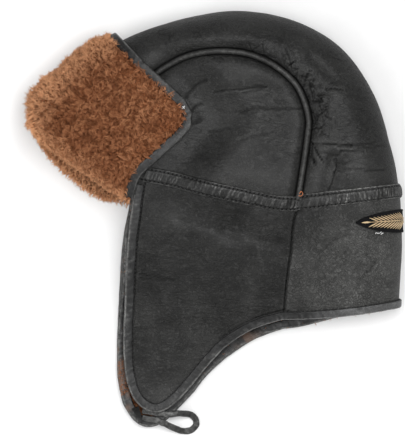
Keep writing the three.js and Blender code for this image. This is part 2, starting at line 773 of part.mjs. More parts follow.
// The pile under the cap is pressed flat on the surface
const overSurface = (p) => {
  p.z = Math.max(p.z, 0.1);
  return p;
};
const pile = plate(pileSurface, -1, 32, 15, pileTop, pileBase, overSurface);
add(frontFlap, "front_flap_fleece", pile, "pile");

// Folded binding of the flap: near end, top edge, far end
const FLAP_END = 0.25;
const flapEdge = (t) => {
  const end = Math.min(t, 1 - t) / FLAP_END;
  const u = Math.min(1, Math.max(0, (t - FLAP_END) / (1 - 2 * FLAP_END)));
  const v = end < 1 ? mix(0.02, 1, end) : 1;
  const up = outward(flapSurface, u, Math.min(v, 0.998), -1);
  return { point: flapSurface(u, v).addScaledVector(up, roomAt(u, v)), up };
};
const FLAP_STEPS = [
  ...steps(10).map((t) => t * FLAP_END),
  ...steps(16).slice(1, -1).map((t) => mix(FLAP_END, 1 - FLAP_END, t)),
  ...steps(10).map((t) => 1 - FLAP_END + FLAP_END * t),
];
const FLAP_SECTION = [
  [-5.5, -1.7], [0.8, -1.7], [1.8, -0.4], [1.8, 4.8], [0.8, 6.2], [-5.5, 6.2],
  [-5.5, 5.2], [0.8, 5.2], [0.8, -0.7], [-5.5, -0.7],
];
const flapFrames = FLAP_STEPS.map((t) => frameOn(flapEdge, t));
add(frontFlap, "front_flap_binding", sweep(flapFrames, FLAP_SECTION), "binding");

// Thong loop
const thongPath = (t) => {
  const [x, y, z] = sample(THONG, t * (THONG.length - 1));
  return { point: new THREE.Vector3(x, y, z), up: new THREE.Vector3(0, 0, 1) };
};
const THONG_SECTION = [[-2.1, -1.1], [2.1, -1.1], [2.1, 1.1], [-2.1, 1.1]];
const thongFrames = steps(30).map((t) => frameOn(thongPath, t));
add(trim, "thong_loop", sweep(thongFrames, THONG_SECTION), "thong");

export default cap;
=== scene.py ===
import bpy
import numpy as np
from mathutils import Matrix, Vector


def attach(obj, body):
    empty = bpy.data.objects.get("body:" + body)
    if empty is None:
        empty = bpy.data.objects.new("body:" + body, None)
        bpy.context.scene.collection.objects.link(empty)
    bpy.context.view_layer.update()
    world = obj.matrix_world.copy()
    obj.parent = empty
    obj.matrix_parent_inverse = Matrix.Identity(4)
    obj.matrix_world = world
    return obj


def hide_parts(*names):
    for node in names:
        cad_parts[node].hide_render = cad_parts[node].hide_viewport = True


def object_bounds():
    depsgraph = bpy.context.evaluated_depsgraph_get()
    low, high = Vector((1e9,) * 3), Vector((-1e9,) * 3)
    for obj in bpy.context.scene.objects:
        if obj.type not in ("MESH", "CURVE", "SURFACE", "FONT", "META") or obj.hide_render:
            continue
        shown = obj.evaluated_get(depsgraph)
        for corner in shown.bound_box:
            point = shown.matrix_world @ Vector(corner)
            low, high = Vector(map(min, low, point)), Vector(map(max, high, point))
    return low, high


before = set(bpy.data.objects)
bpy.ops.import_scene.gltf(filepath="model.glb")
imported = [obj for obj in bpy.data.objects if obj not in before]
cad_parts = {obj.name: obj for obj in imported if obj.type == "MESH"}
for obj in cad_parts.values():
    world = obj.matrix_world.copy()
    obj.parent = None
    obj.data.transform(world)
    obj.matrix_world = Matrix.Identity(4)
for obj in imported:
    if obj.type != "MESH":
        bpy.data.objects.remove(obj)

cad_box = [list(corner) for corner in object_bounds()]

# A leather flight cap lined with sheepskin, lying on its right side with the front flap turned up.
# The pattern is drawn in millimetres on the plane that the cap lies on: x to the back of the head,
# y to the top of the crown, z up. REST is the pattern's point at the frame's origin.
REST = np.array([-50.3, -89.3, 0.0])
MM = 0.001

# Camera and photograph: millimetres of the pattern in one pixel, and the middle of the picture
PIXEL = 0.78
PHOTO_HIGH = 440
VIEW_MIDDLE = (-40.95, -62.4, 30.0)
CAMERA_HEIGHT = 6000.0
SENSOR = 36.0

# Walls and heights
LEATHER = 1.8
GAP = 0.45
FLEECE = 5.5
HEM_FLEECE = 1.2
CROWN_TOP = 66
TIP_DROP = 46.5
DROP_START = -20
DROP_LENGTH = 189
FLAP_PRESS = 7
PRESS_REACH = 30
PRESS_START = 10
PRESS_LENGTH = 50
FLAP_BED = 15.2
BED_REACH = 36
WELT_VALLEY = 2.8
WELT_VALLEY_WIDTH = 6
NECK_VALLEY = 1.0
NECK_VALLEY_WIDTH = 5
SEAM_LIFT = 3.9
LIFT_REACH = 20
NECK_LIFT = 0.8
HEM_BOW = 9.2
HEM_LAG = 7
LAG_START = 40
HEM_TILT = 0.15
BAND_ROW = 14
HEM_ROW = 18
CORNER_ROW = 12.3
ROLL_POWER = 2.2
QUARTER_ROUND = 1.62
ROLL_SHARE = 4 / 7

# Ribs across the cap: spineX, spineY, seamX, seamY, roll
SECTIONS = np.array([
    [-170.0, 8.5, -131.0, -19.5, 24],
    [-160.0, 32.0, -124.0, 1.5, 24],
    [-145.0, 47.0, -111.0, 16.0, 24],
    [-127.0, 63.0, -94.5, 33.0, 24],
    [-106.0, 76.0, -78.0, 50.5, 24],
    [-86.0, 85.0, -64.5, 59.5, 24],
    [-66.5, 91.5, -52.5, 65.0, 23],
    [-45.0, 97.0, -38.0, 68.0, 23],
    [-19.5, 100.5, -21.0, 68.5, 24],
    [8.0, 98.5, -2.5, 65.5, 26],
    [39.0, 89.5, 17.0, 56.0, 29],
    [70.0, 69.0, 33.0, 40.5, 31],
    [93.0, 35.0, 41.0, 18.5, 32],
    [105.5, -4.0, 40.0, -1.5, 31],
    [112.5, -40.0, 32.5, -50.0, 28],
    [114.0, -62.5, 29.0, -66.5, 25],
    [114.5, -86.0, 27.5, -86.5, 23],
    [113.5, -109.0, 24.5, -109.0, 21],
    [112.5, -129.5, 22.0, -138.5, 20],
])

# Middle of the band on each side panel: x, y
BAND = np.array([
    [-97.5, -25.0],
    [-70.0, -29.5],
    [-43.0, -36.5],
    [-11.5, -43.5],
    [15.5, -49.0],
    [32.5, -50.0],
])
BAND_RISE = 0.125
BAND_HALF = 6

# Cut edges of the ear flaps: nearX, nearY, farX, farY
EAR_EDGE = np.array([
    [-90.5, -26.5, -93.5, -26.0],
    [-94.0, -51.0, -96.5, -51.0],
    [-97.0, -74.5, -101.0, -74.5],
    [-99.0, -101.5, -103.5, -101.5],
    [-100.0, -129.0, -105.0, -129.0],
    [-101.0, -156.0, -106.0, -156.0],
    [-100.0, -179.0, -106.0, -183.0],
    [-96.0, -196.0, -101.5, -205.5],
    [-89.5, -206.0, -93.0, -218.5],
    [-80.0, -211.0, -83.5, -223.0],
    [-71.0, -209.5, -72.5, -219.5],
    [-61.5, -202.5, -61.5, -209.5],
    [-50.5, -190.5, -49.5, -196.5],
    [-39.0, -176.5, -38.0, -182.5],
    [-25.5, -161.5, -24.5, -170.0],
    [-11.0, -151.0, -10.5, -160.0],
    [4.0, -143.5, 4.5, -152.0],
    [22.0, -138.5, 22.0, -145.5],
])
EAR_CORNER = 8.6
EAR_LAST = len(EAR_EDGE) - 1

# Edges of the place under the turned-up flap: x, y, outwardX, outwardY, start of the fall beyond it
FLAP_PLACE = [
    [-107, 81, 0.7375, 0.675, 12],
    [-53, 15.5, 0.783, -0.622, 16.5],
]

# Broad folds of the near side: x0, y0, x1, y1, depth, width
FOLDS = [
    [-54, -52, -20, -68, 3.0, 12],
    [-20, -68, 26, -84, 2.4, 11],
    [-12, 36, 14, 40, 1.2, 7],
    [57, -39, 61, -16, 1.3, 6],
    [61, -16, 98, -6, 1.0, 6],
    [46, 62, 62, 46, 1.6, 6],
]
SIDE_SAG = [-2, 12, 44, 30, 3]
NECK_LINE = [32.5, -50, 0.119]

# Creases of the near side's leather: x0, y0, x1, y1, depth, width
CREASES = [
    [56.9, -40.6, 59.8, -25.6, 0.7, 1.4],
    [59.8, -27.0, 62.8, -15.6, 0.6, 1.4],
    [61.3, -15.0, 67.3, -8.8, 0.5, 1.3],
    [66.3, -7.8, 84.0, -8.0, 0.5, 1.3],
    [80.0, -5.5, 101.4, -3.9, 0.45, 1.3],
    [70.0, -13.0, 90.0, -11.5, 0.35, 1.2],
    [49.0, -8.0, 64.0, -12.0, 0.45, 1.2],
    [44.5, -2.3, 74.1, -4.7, 0.9, 1.5],
    [74.1, -4.7, 91.3, -1.6, 0.5, 1.6],
    [60.8, -23.8, 98.3, -23.4, 0.5, 1.8],
    [46.8, -5.5, 52.3, -15.6, 1.1, 1.6],
    [44.0, -1.0, 45.5, -18.0, 1.0, 1.6],
    [54.6, 39.8, 67.9, 39.0, 0.8, 1.5],
    [22.2, 71.8, 28.1, 55.4, 0.6, 1.3],
    [-32.8, 37.4, 9.4, 40.6, 0.7, 1.6],
    [-10.9, 35.9, 5.5, 39.0, 0.5, 1.5],
    [-12.5, 21.8, 35.9, 25.0, 0.55, 1.8],
    [-36.7, 6.2, -18.7, 7.8, 0.5, 2.0],
    [-10.0, 0.0, 14.0, 5.5, 0.4, 2.0],
    [-30.0, 24.0, -8.0, 20.0, 0.35, 2.0],
    [-51.0, 21.0, -41.0, 27.5, 0.8, 1.8],
    [-50.0, 14.0, -43.0, 16.0, 0.7, 1.8],
    [-55.0, 34.0, -39.0, 45.0, 0.7, 2.2],
    [-95.0, -103.0, -62.4, -108.4, 0.6, 1.7],
    [-90.0, -107.0, -70.0, -109.0, 0.5, 1.7],
    [-92.4, -138.8, -58.5, -145.0, 0.6, 1.7],
    [-86.0, -144.0, -62.0, -149.0, 0.5, 1.7],
    [-74.0, -161.5, -48.0, -164.6, 0.5, 1.7],
    [-88.0, -201.0, -68.0, -205.0, 0.5, 1.5],
    [-84.0, -196.0, -64.0, -199.0, 0.4, 1.5],
    [-78.0, -46.8, -58.5, -62.4, 0.5, 6.0],
    [-58.5, -62.4, -25.0, -70.2, 0.5, 5.5],
    [-25.0, -70.2, 21.0, -80.3, 0.5, 5.0],
    [3.0, -86.0, 9.0, -118.0, -0.7, 4.0],
    [50.7, -92.0, 70.0, -117.0, 0.4, 3.0],
    [62.0, -84.0, 82.0, -108.0, 0.4, 3.2],
    [76.0, -80.0, 96.0, -100.0, 0.35, 3.0],
    [40.0, -80.0, 52.0, -100.0, 0.3, 3.0],
]
# Soft wrinkles that lie aslant on the neck panel: lowest and highest x, lowest and highest y, count
NECK_WRINKLES = [40, 94, -116, -74, 44]
# Crumpled parts of the crown along the welt: first row, last row, number of creases, reach
NETWORK_PARTS = [
    [8.4, 9.8, 7, 5],
    [10.0, 10.7, 13, 7],
    [10.7, 12.2, 64, 15],
    [12.2, 13.3, 14, 11],
]
# Where the crown's leather is crumpled beside the welt: x, y, radius
CRUMPLE = [
    [22.6, 74.0, 9.0],
    [35.0, 61.0, 10.0],
    [47.0, 43.0, 12.0],
    [53.0, 28.0, 10.0],
    [56.0, 12.0, 8.0],
]


def neck_wrinkles():
    """Creases in the form of the table's rows."""
    rng = np.random.default_rng(9)
    low_x, high_x, low_y, high_y, count = NECK_WRINKLES
    lines = []
    for _ in range(count):
        x, y = rng.uniform(low_x, high_x), rng.uniform(low_y, high_y)
        turn = rng.uniform(0.75, 1.2)
        long = rng.uniform(7, 16)
        end = (x + long * np.cos(turn), y + long * np.sin(turn))
        lines.append([x, y, *end, rng.uniform(0.1, 0.22), rng.uniform(1.3, 2.0)])
    return lines


ALL_CREASES = np.array(CREASES + neck_wrinkles())


def smooth(t):
    c = np.clip(t, 0, 1)
    return c * c * (3 - 2 * c)


def rise(value, start, length):
    """0 up to the start, 1 from a length beyond it, and smooth between."""
    return smooth((value - start) / length)


def fall(value, end, length):
    """1 up to a length before the end, 0 from the end on, and smooth between."""
    return smooth((end - value) / length)


def within(value, low, high, soft):
    """1 between low and high, and smoothly 0 outside."""
    return rise(value, low, soft) * fall(value, high, soft)


def mix(a, b, t):
    return a + (b - a) * t


def bell(distance, width):
    return np.exp(-((distance / width) ** 2))


def points_of(*coordinates):
    """Points from their coordinates, which may be of different shapes."""
    return np.stack(np.broadcast_arrays(*coordinates), -1)


def unit(vectors):
    return vectors / np.maximum(np.linalg.norm(vectors, axis=-1, keepdims=True), 1e-9)


def run_along(points):
    """Length along a path, at each of its points."""
    return np.concatenate([[0], np.cumsum(np.linalg.norm(np.diff(points, axis=0), axis=1))])


def sample(table, r):
    """Rows of the table at real row numbers, by a Catmull-Rom spline through each column."""
    last = len(table) - 1
    r = np.asarray(r, float)
    i = np.clip(np.floor(r), 0, last - 1).astype(int)
    t = (r - i)[..., None]
    rows = np.vstack([2 * table[0] - table[1], table, 2 * table[-1] - table[-2]])
    p0, p1, p2, p3 = rows[i], rows[i + 1], rows[i + 2], rows[i + 3]
    bent = 2 * p0 - 5 * p1 + 4 * p2 - p3
    inside = 0.5 * (2 * p1 + (p2 - p0 + (bent + (3 * p1 - p0 - 3 * p2 + p3) * t) * t) * t)
    before = p1 + (p2 - p0) / 2 * t
    after = p2 + (p3 - p1) / 2 * (t - 1)
    return np.where(t < 0, before, np.where(t > 1, after, inside))


def segment_distance(x, y, ax, ay, bx, by):
    dx, dy = bx - ax, by - ay
    t = np.clip(((x - ax) * dx + (y - ay) * dy) / (dx * dx + dy * dy), 0, 1)
    return np.hypot(x - ax - dx * t, y - ay - dy * t)


def line_distance(line, x, y):
    best = np.full(np.shape(x), 1e9)
    for a, b in zip(line[:-1], line[1:]):
        best = np.minimum(best, segment_distance(x, y, *a, *b))
    return best


def lattice(ix, iy, iz, seed):
    """A number from 0 to 1 for each whole point."""
    h = (ix * 374761393 + iy * 668265263 + iz * 1103515245 + seed * 974711) & 0xFFFFFFFF
    h = ((h ^ (h >> 13)) * 1274126177) & 0xFFFFFFFF
    return ((h ^ (h >> 16)) & 0xFFFF) / 65535.0


def noise(points, size, seed):
    """Smooth noise from -1 to 1 whose lumps are size across."""
    q = np.asarray(points, float) / size
    cell = np.floor(q).astype(np.int64)
    f = q - cell
    f = f * f * (3 - 2 * f)
    total = 0
    for corner in range(8):
        step = [corner & 1, corner >> 1 & 1, corner >> 2 & 1]
        weight = np.prod([np.where(step[k], f[..., k], 1 - f[..., k]) for k in range(3)], axis=0)
        at = [cell[..., k] + step[k] for k in range(3)]
        total = total + weight * lattice(*at, seed)
    return total * 2 - 1


band_dense = sample(BAND, np.linspace(0, len(BAND) - 1, 120))
WELT_LINE = sample(SECTIONS, np.linspace(0, BAND_ROW, 60))[:, 2:4]
NECK_SEAM = sample(SECTIONS, np.linspace(BAND_ROW, HEM_ROW, 12))[:, 2:4]
NEAR_HEM = sample(EAR_EDGE, np.linspace(0, EAR_LAST, 50))[:, 0:2]
FAR_HEM = sample(EAR_EDGE, np.linspace(0, EAR_LAST, 50))[:, 2:4]


def below(x, y):
    """Distance below the middle of the band."""
    level = np.interp(x, band_dense[:, 0], band_dense[:, 1])
    beyond = BAND[-1, 1] + (x - BAND[-1, 0]) * BAND_RISE
    return np.where(x > BAND[-1, 0], beyond, level) - y


def cover(x, y, reach):
    share = 1
    for ex, ey, out_x, out_y, start in FLAP_PLACE:
        beyond = (x - ex) * out_x + (y - ey) * out_y
        share = share * (1 - rise(beyond, start, reach))
    return share


def valley(x, y):
    welt = line_distance(WELT_LINE, x, y)
    neck = line_distance(NECK_SEAM, x, y)
    return WELT_VALLEY * bell(welt, WELT_VALLEY_WIDTH) + NECK_VALLEY * bell(neck, NECK_VALLEY_WIDTH)


def lines_sum(lines, x, y):
    total = 0
    for ax, ay, bx, by, depth, width in lines:
        total = total + depth * bell(segment_distance(x, y, ax, ay, bx, by), width)
    return total


def near_base(x, y, covered):
    return CROWN_TOP - FLAP_PRESS * covered - TIP_DROP * rise(below(x, y), DROP_START, DROP_LENGTH)


def near_height(x, y):
    cx, cy, wide, high, depth = SIDE_SAG
    sag = depth * np.exp(-(((x - cx) / wide) ** 2) - ((y - cy) / high) ** 2)
    pressed = cover(x, y, PRESS_REACH) * (1 - rise(below(x, y), PRESS_START, PRESS_LENGTH))
    return near_base(x, y, pressed) - sag - valley(x, y) - lines_sum(FOLDS, x, y)


def far_height(x, y):
    behind = x - NECK_LINE[0] - NECK_LINE[2] * (y - NECK_LINE[1])
    neck = rise(behind, -8, 12) * rise(below(x, y), -4, 8)
    from_seam = np.minimum(np.abs(below(x, y)), line_distance(FAR_HEM, x, y)) / LIFT_REACH
    lift = SEAM_LIFT * np.maximum(np.maximum(1 - from_seam, NECK_LIFT * neck), 0)
    return mix(lift, FLAP_BED, cover(x, y, BED_REACH)) + valley(x, y)


def flap_near_height(x, y):
    return near_base(x, y, 1)


def flap_far_height(x, y):
    return np.full(np.shape(x), FLAP_BED)


FORM = (near_height, far_height)
FLAP_FORM = (flap_near_height, flap_far_height)


def rib(r, heights):
    """Spine x and y, direction to the seam, roll, inset, arc length of the roll, and middle height."""
    sx, sy, wx, wy, roll = np.moveaxis(sample(SECTIONS, r), -1, 0)
    inset = np.hypot(wx - sx, wy - sy)
    dx, dy = (wx - sx) / inset, (wy - sy) / inset
    px, py = sx + dx * roll, sy + dy * roll
    top, bottom = heights[0](px, py), heights[1](px, py)
    half = (top - bottom) / 2
    arc = QUARTER_ROUND * np.sqrt((roll * roll + half * half) / 2)
    return sx, sy, dx, dy, roll, inset, arc, (top + bottom) / 2


def on_rib(r, s, heights=FORM):
    """Point of the form at row r and arc length s from the spine: s > 0 is the near side."""
    sx, sy, dx, dy, roll, inset, arc, middle = rib(r, heights)
    a = np.abs(s)
    turn = np.minimum(1, a / arc) * (np.pi / 2)
    risen = np.sin(turn) ** (2 / ROLL_POWER)
    rolled = roll * (1 - np.maximum(np.cos(turn), 0) ** (2 / ROLL_POWER))
    n = np.where(a < arc, rolled, roll + a - arc)
    x, y = sx + dx * n, sy + dy * n
    low = np.maximum(0, (r - BAND_ROW) / (HEM_ROW - BAND_ROW)) ** 2
    q = np.minimum(1, n / inset)
    lag = HEM_LAG * rise(n, LAG_START, inset - LAG_START) * low
    y = y - HEM_BOW * q * (1 - q) * low - np.where(s < 0, lag, 0)
    plateau = np.where(s < 0, heights[1](x, y), heights[0](x, y))
    return np.stack([x, y, mix(middle, plateau, risen)], -1)


def across_rib(r, u, room):
    """Spreads u over a rib from the near seam to the far seam, with a fixed share of it on the roll."""
    t = np.abs(1 - 2 * u)
    roll, inset, arc = rib(r, FORM)[4:7]
    flat = (t - ROLL_SHARE) / (1 - ROLL_SHARE)
    s = np.where(t < ROLL_SHARE, arc * t / ROLL_SHARE, mix(arc, arc + inset - room - roll, flat))
    return on_rib(r, np.where(u < 0.5, s, -s))


def grid_of(nu, nv):
    """u and v over a grid of nu by nv cells, v down the rows."""
    return np.meshgrid(np.linspace(0, 1, nu + 1), np.linspace(0, 1, nv + 1))


def normals_of(grid, sign):
    return sign * unit(np.cross(np.gradient(grid, axis=1), np.gradient(grid, axis=0)))


def beside(table, columns, r, step, off):
    """A point moved square to a path by off, to the left of the way it runs."""
    p = sample(table, r)[..., columns]
    d = unit(sample(table, r + step)[..., columns] - sample(table, r - step)[..., columns])
    return p + np.stack([-d[..., 1], d[..., 0]], -1) * np.asarray(off)[..., None]


def coons(top, right, bottom, left, near):
    """A patch of (rows, columns, 3) between four plan curves, raised to the near or far side."""
    u = np.linspace(0, 1, len(top))[None, :, None]
    v = np.linspace(0, 1, len(left))[:, None, None]
    p = (1 - v) * top[None] + v * bottom[None] + (1 - u) * left[:, None] + u * right[:, None]
    p = p - (1 - u) * (1 - v) * top[0] - u * (1 - v) * top[-1]
    p = p - (1 - u) * v * bottom[0] - u * v * bottom[-1]
    x, y = p[..., 0], p[..., 1]
    return np.stack([x, y, (near_height if near else far_height)(x, y)], -1)


def side_grid(near, nu, nv, room):
    u = np.linspace(0, 1, nu + 1)
    v = np.linspace(0, 1, nv + 1)
    top = beside(SECTIONS, [2, 3], mix(0, CORNER_ROW, u), 0.1, room)
    right = beside(SECTIONS, [2, 3], mix(CORNER_ROW, BAND_ROW - 0.02, v), 0.1, room)
    bottom = sample(BAND, u * (len(BAND) - 1)) + [0, 1]
    left = mix(top[0], bottom[0], v[:, None])
    return coons(top, right, bottom, left, near)


def ear_grid(near, nu, nv, room, edge=0.2):
    u = np.linspace(0, 1, nu + 1)
    v = np.linspace(0, 1, nv + 1)
    columns = [0, 1] if near else [2, 3]

    def inset(row):
        return beside(EAR_EDGE, columns, row, 0.05, edge)

    start = (inset(0.0)[0] - BAND[0, 0]) / (BAND[1, 0] - BAND[0, 0]) / (len(BAND) - 1)
    band = sample(BAND, mix(start, 1, u) * (len(BAND) - 1)) - [0, 1]
    seam_end = sample(SECTIONS, HEM_ROW)
    low_end = inset(float(EAR_LAST))
    seam = sample(SECTIONS, mix(BAND_ROW + 0.02, HEM_ROW, v))[:, 2:4] - [room, 0]
    seam = seam + np.outer(v * v, [0, low_end[1] - seam_end[3]])
    top = band + np.outer(u, seam[0] - band[-1])
    bottom = inset(mix(EAR_CORNER, EAR_LAST, u))
    bottom = bottom + np.outer(u, seam[-1] - low_end)
    left = inset(mix(0, EAR_CORNER, v))
    left = left + np.outer(1 - v, top[0] - left[0])
    return coons(top, seam, bottom, left, near)


def to_frame(points):
    return (np.asarray(points, float).reshape(-1, 3) - REST) * MM


def add_object(name, mesh):
    piece = bpy.data.objects.new(name, mesh)
    bpy.context.scene.collection.objects.link(piece)
    return piece


def add_attributes(mesh, attributes, kind="FLOAT", field="value"):
    """Values of each vertex, stored under their names."""
    for key, values in (attributes or {}).items():
        layer = mesh.attributes.new(key, kind, "POINT")
        layer.data.foreach_set(field, np.asarray(values, np.float32).ravel())


def make_mesh(name, points, blocks, material, attributes=None):
    """A mesh object from points in pattern millimetres. Each block holds faces of one size, facing out."""
    mesh = bpy.data.meshes.new(name)
    points = to_frame(points)
    points[:, 2] = np.maximum(points[:, 2], 0.0)
    flat = np.concatenate([np.ravel(block) for block in blocks]).astype(np.int32)
    sizes = np.concatenate([np.full(len(block), np.shape(block)[1]) for block in blocks])
    starts = np.concatenate([[0], np.cumsum(sizes)[:-1]]).astype(np.int32)
    mesh.vertices.add(len(points))
    mesh.vertices.foreach_set("co", points.ravel())
    mesh.loops.add(len(flat))
    mesh.loops.foreach_set("vertex_index", flat)
    mesh.polygons.add(len(sizes))
    mesh.polygons.foreach_set("loop_start", starts)
    mesh.update(calc_edges=True)
    mesh.polygons.foreach_set("use_smooth", np.ones(len(sizes), bool))
    add_attributes(mesh, attributes)
    mesh.materials.append(material)
    mesh.validate()
    return add_object(name, mesh)


def turned_out(points, blocks):
    """The blocks, turned over where the closed body that they make is inside out."""
    tris = np.vstack([block[:, [0, k, k + 1]] for block in blocks for k in range(1, block.shape[1] - 1)])
    a, b, c = (points[tris[:, k]] - points.mean(0) for k in range(3))
    if np.einsum("ij,ij->i", a, np.cross(b, c)).sum() < 0:
        return [block[:, ::-1] for block in blocks]
    return blocks


def rim(long, short):
    """Triangles between a fine edge and a coarse one that run the same way."""
    k = (len(long) - 1) // (len(short) - 1)
    tris = []
    for c in range(len(short) - 1):
        middle = c * k + (k + 1) // 2
        for i in range(c * k, c * k + k):
            tris.append((long[i], long[i + 1], short[c if i < middle else c + 1]))
        tris.append((long[middle], short[c + 1], short[c]))
    return tris


def numbers_of(grid, first=0):
    """Numbers of a grid's points, in the grid's rows."""
    return first + np.arange(grid.shape[0] * grid.shape[1]).reshape(grid.shape[:2])


def quads_of(index):
    return np.stack([index[:-1, :-1], index[:-1, 1:], index[1:, 1:], index[1:, :-1]], -1).reshape(-1, 4)


def skin(outer, inner):
    """Points and faces of a closed skin between an outer grid and an inner one, as fine or coarser."""
    a = numbers_of(outer)
    b = numbers_of(inner, a.size)
    sides = rim(a[0, ::-1], b[0, ::-1]) + rim(a[-1], b[-1])
    sides += rim(a[:, 0], b[:, 0]) + rim(a[::-1, -1], b[::-1, -1])
    points = np.vstack([outer.reshape(-1, 3), inner.reshape(-1, 3)])
    return points, turned_out(points, [quads_of(a), quads_of(b)[:, [0, 3, 2, 1]], np.array(sides)])


def plate(name, outer, inner, material, attributes=None, beneath=0.0):
    """A closed skin as a piece. Attributes are given over its outer grid. Its inner one has beneath."""
    full = {}
    for key, values in (attributes or {}).items():
        full[key] = np.append(np.ravel(values), np.full(inner[..., 0].size, beneath))
    return make_mesh(name, *skin(outer, inner), material, full)


def sweep(name, rings, material, attributes=None):
    """A closed tube through rings of (steps, around, 3)."""
    index = numbers_of(rings)
    beyond = np.roll(index, -1, axis=1)
    walls = np.stack([index[:-1], beyond[:-1], beyond[1:], index[1:]], -1).reshape(-1, 4)
    ends = np.stack([index[0][::-1], index[-1]])
    points = rings.reshape(-1, 3)
    return make_mesh(name, points, turned_out(points, [walls, ends]), material, attributes)


def frames_on(points, ups):
    """Sides and ups of frames along a path over a surface: side = along x up."""
    along = unit(np.gradient(points, axis=0))
    side = unit(np.cross(along, ups))
    return side, np.cross(side, along)


def rings_of(points, side, up, section):
    section = np.asarray(section, float)
    if section.ndim == 2:
        section = np.broadcast_to(section, (len(points), *section.shape))
    return points[:, None] + side[:, None] * section[..., :1] + up[:, None] * section[..., 1:2]


def rounded(section, per_corner, share):
    """The section with each corner cut by a short curve."""
    section = np.asarray(section, float)
    n = len(section)
    out = []
    for i in range(n):
        p, before, after = section[i], section[i - 1], section[(i + 1) % n]
        a = p + (before - p) * min(share, 0.9 / max(np.linalg.norm(before - p), 1e-6))
        b = p + (after - p) * min(share, 0.9 / max(np.linalg.norm(after - p), 1e-6))
        for t in np.linspace(0, 1, per_corner):
            out.append((1 - t) ** 2 * a + 2 * t * (1 - t) * p + t * t * b)
    return np.array(out)


def on_side(x, y, near):
    """Points and outward normals of the near or far side over plan positions."""
    height = near_height if near else far_height
    step = 0.3
    gx = (height(x + step, y) - height(x - step, y)) / (2 * step)
    gy = (height(x, y + step) - height(x, y - step)) / (2 * step)
    up = unit(np.stack([-gx, -gy, np.ones_like(gx)], -1))
    return np.stack([x, y, height(x, y)], -1), up * (1 if near else -1)


def feed(tree, socket, value):
    """Links a socket to a node's output, or sets its constant. A colour may leave out its alpha."""
    if isinstance(value, bpy.types.NodeSocket):
        tree.links.new(value, socket)
    elif isinstance(value, tuple) and len(value) < len(socket.default_value):
        socket.default_value = (*value, 1.0)
    else:
        socket.default_value = value


def feed_all(tree, target, inputs):
    for key, value in inputs.items():
        feed(tree, target.inputs[key], value)
    return target


def node(tree, kind, inputs=None, **settings):
    """A node with its properties set and its inputs, by name or number, fed."""
    made = tree.nodes.new(kind)
    for key, value in settings.items():
        setattr(made, key, value)
    return feed_all(tree, made, inputs or {})


def math_node(tree, operation, *values, clamp=False):
    made = node(tree, "ShaderNodeMath", dict(enumerate(values)), operation=operation, use_clamp=clamp)
    return made.outputs[0]


def noise_node(tree, vector, scale, detail=3.0, roughness=0.55, distortion=0.0):
    inputs = {"Vector": vector, "Scale": scale, "Detail": detail, "Roughness": roughness}
    inputs["Distortion"] = distortion
    return node(tree, "ShaderNodeTexNoise", inputs).outputs["Fac"]


def range_node(tree, value, low, high, to_low=0.0, to_high=1.0, soft=False):
    inputs = {"Value": value, "From Min": low, "From Max": high, "To Min": to_low, "To Max": to_high}
    curve = "SMOOTHSTEP" if soft else "LINEAR"
    return node(tree, "ShaderNodeMapRange", inputs, interpolation_type=curve).outputs["Result"]


def colour_mix(tree, share, a, b):
    return node(tree, "ShaderNodeMix", {0: share, 6: a, 7: b}, data_type="RGBA").outputs[2]


def vector_scale(tree, vector, sizes):
    return node(tree, "ShaderNodeMapping", {"Scale": sizes, "Vector": vector}).outputs["Vector"]


def off_middle(tree, value):
    """How far a noise value is from its middle."""
    return math_node(tree, "SUBTRACT", value, 0.5)


def shader_group(name, output_names, **inputs):
    """A group with a Vector input, number inputs of the given values, and number outputs."""
    tree = bpy.data.node_groups.new(name, "ShaderNodeTree")
    tree.interface.new_socket("Vector", in_out="INPUT", socket_type="NodeSocketVector")
    for key, value in inputs.items():
        tree.interface.new_socket(key, in_out="INPUT", socket_type="NodeSocketFloat").default_value = value
    for key in output_names:
        tree.interface.new_socket(key, in_out="OUTPUT", socket_type="NodeSocketFloat")
    return tree, tree.nodes.new("NodeGroupInput").outputs, tree.nodes.new("NodeGroupOutput").inputs


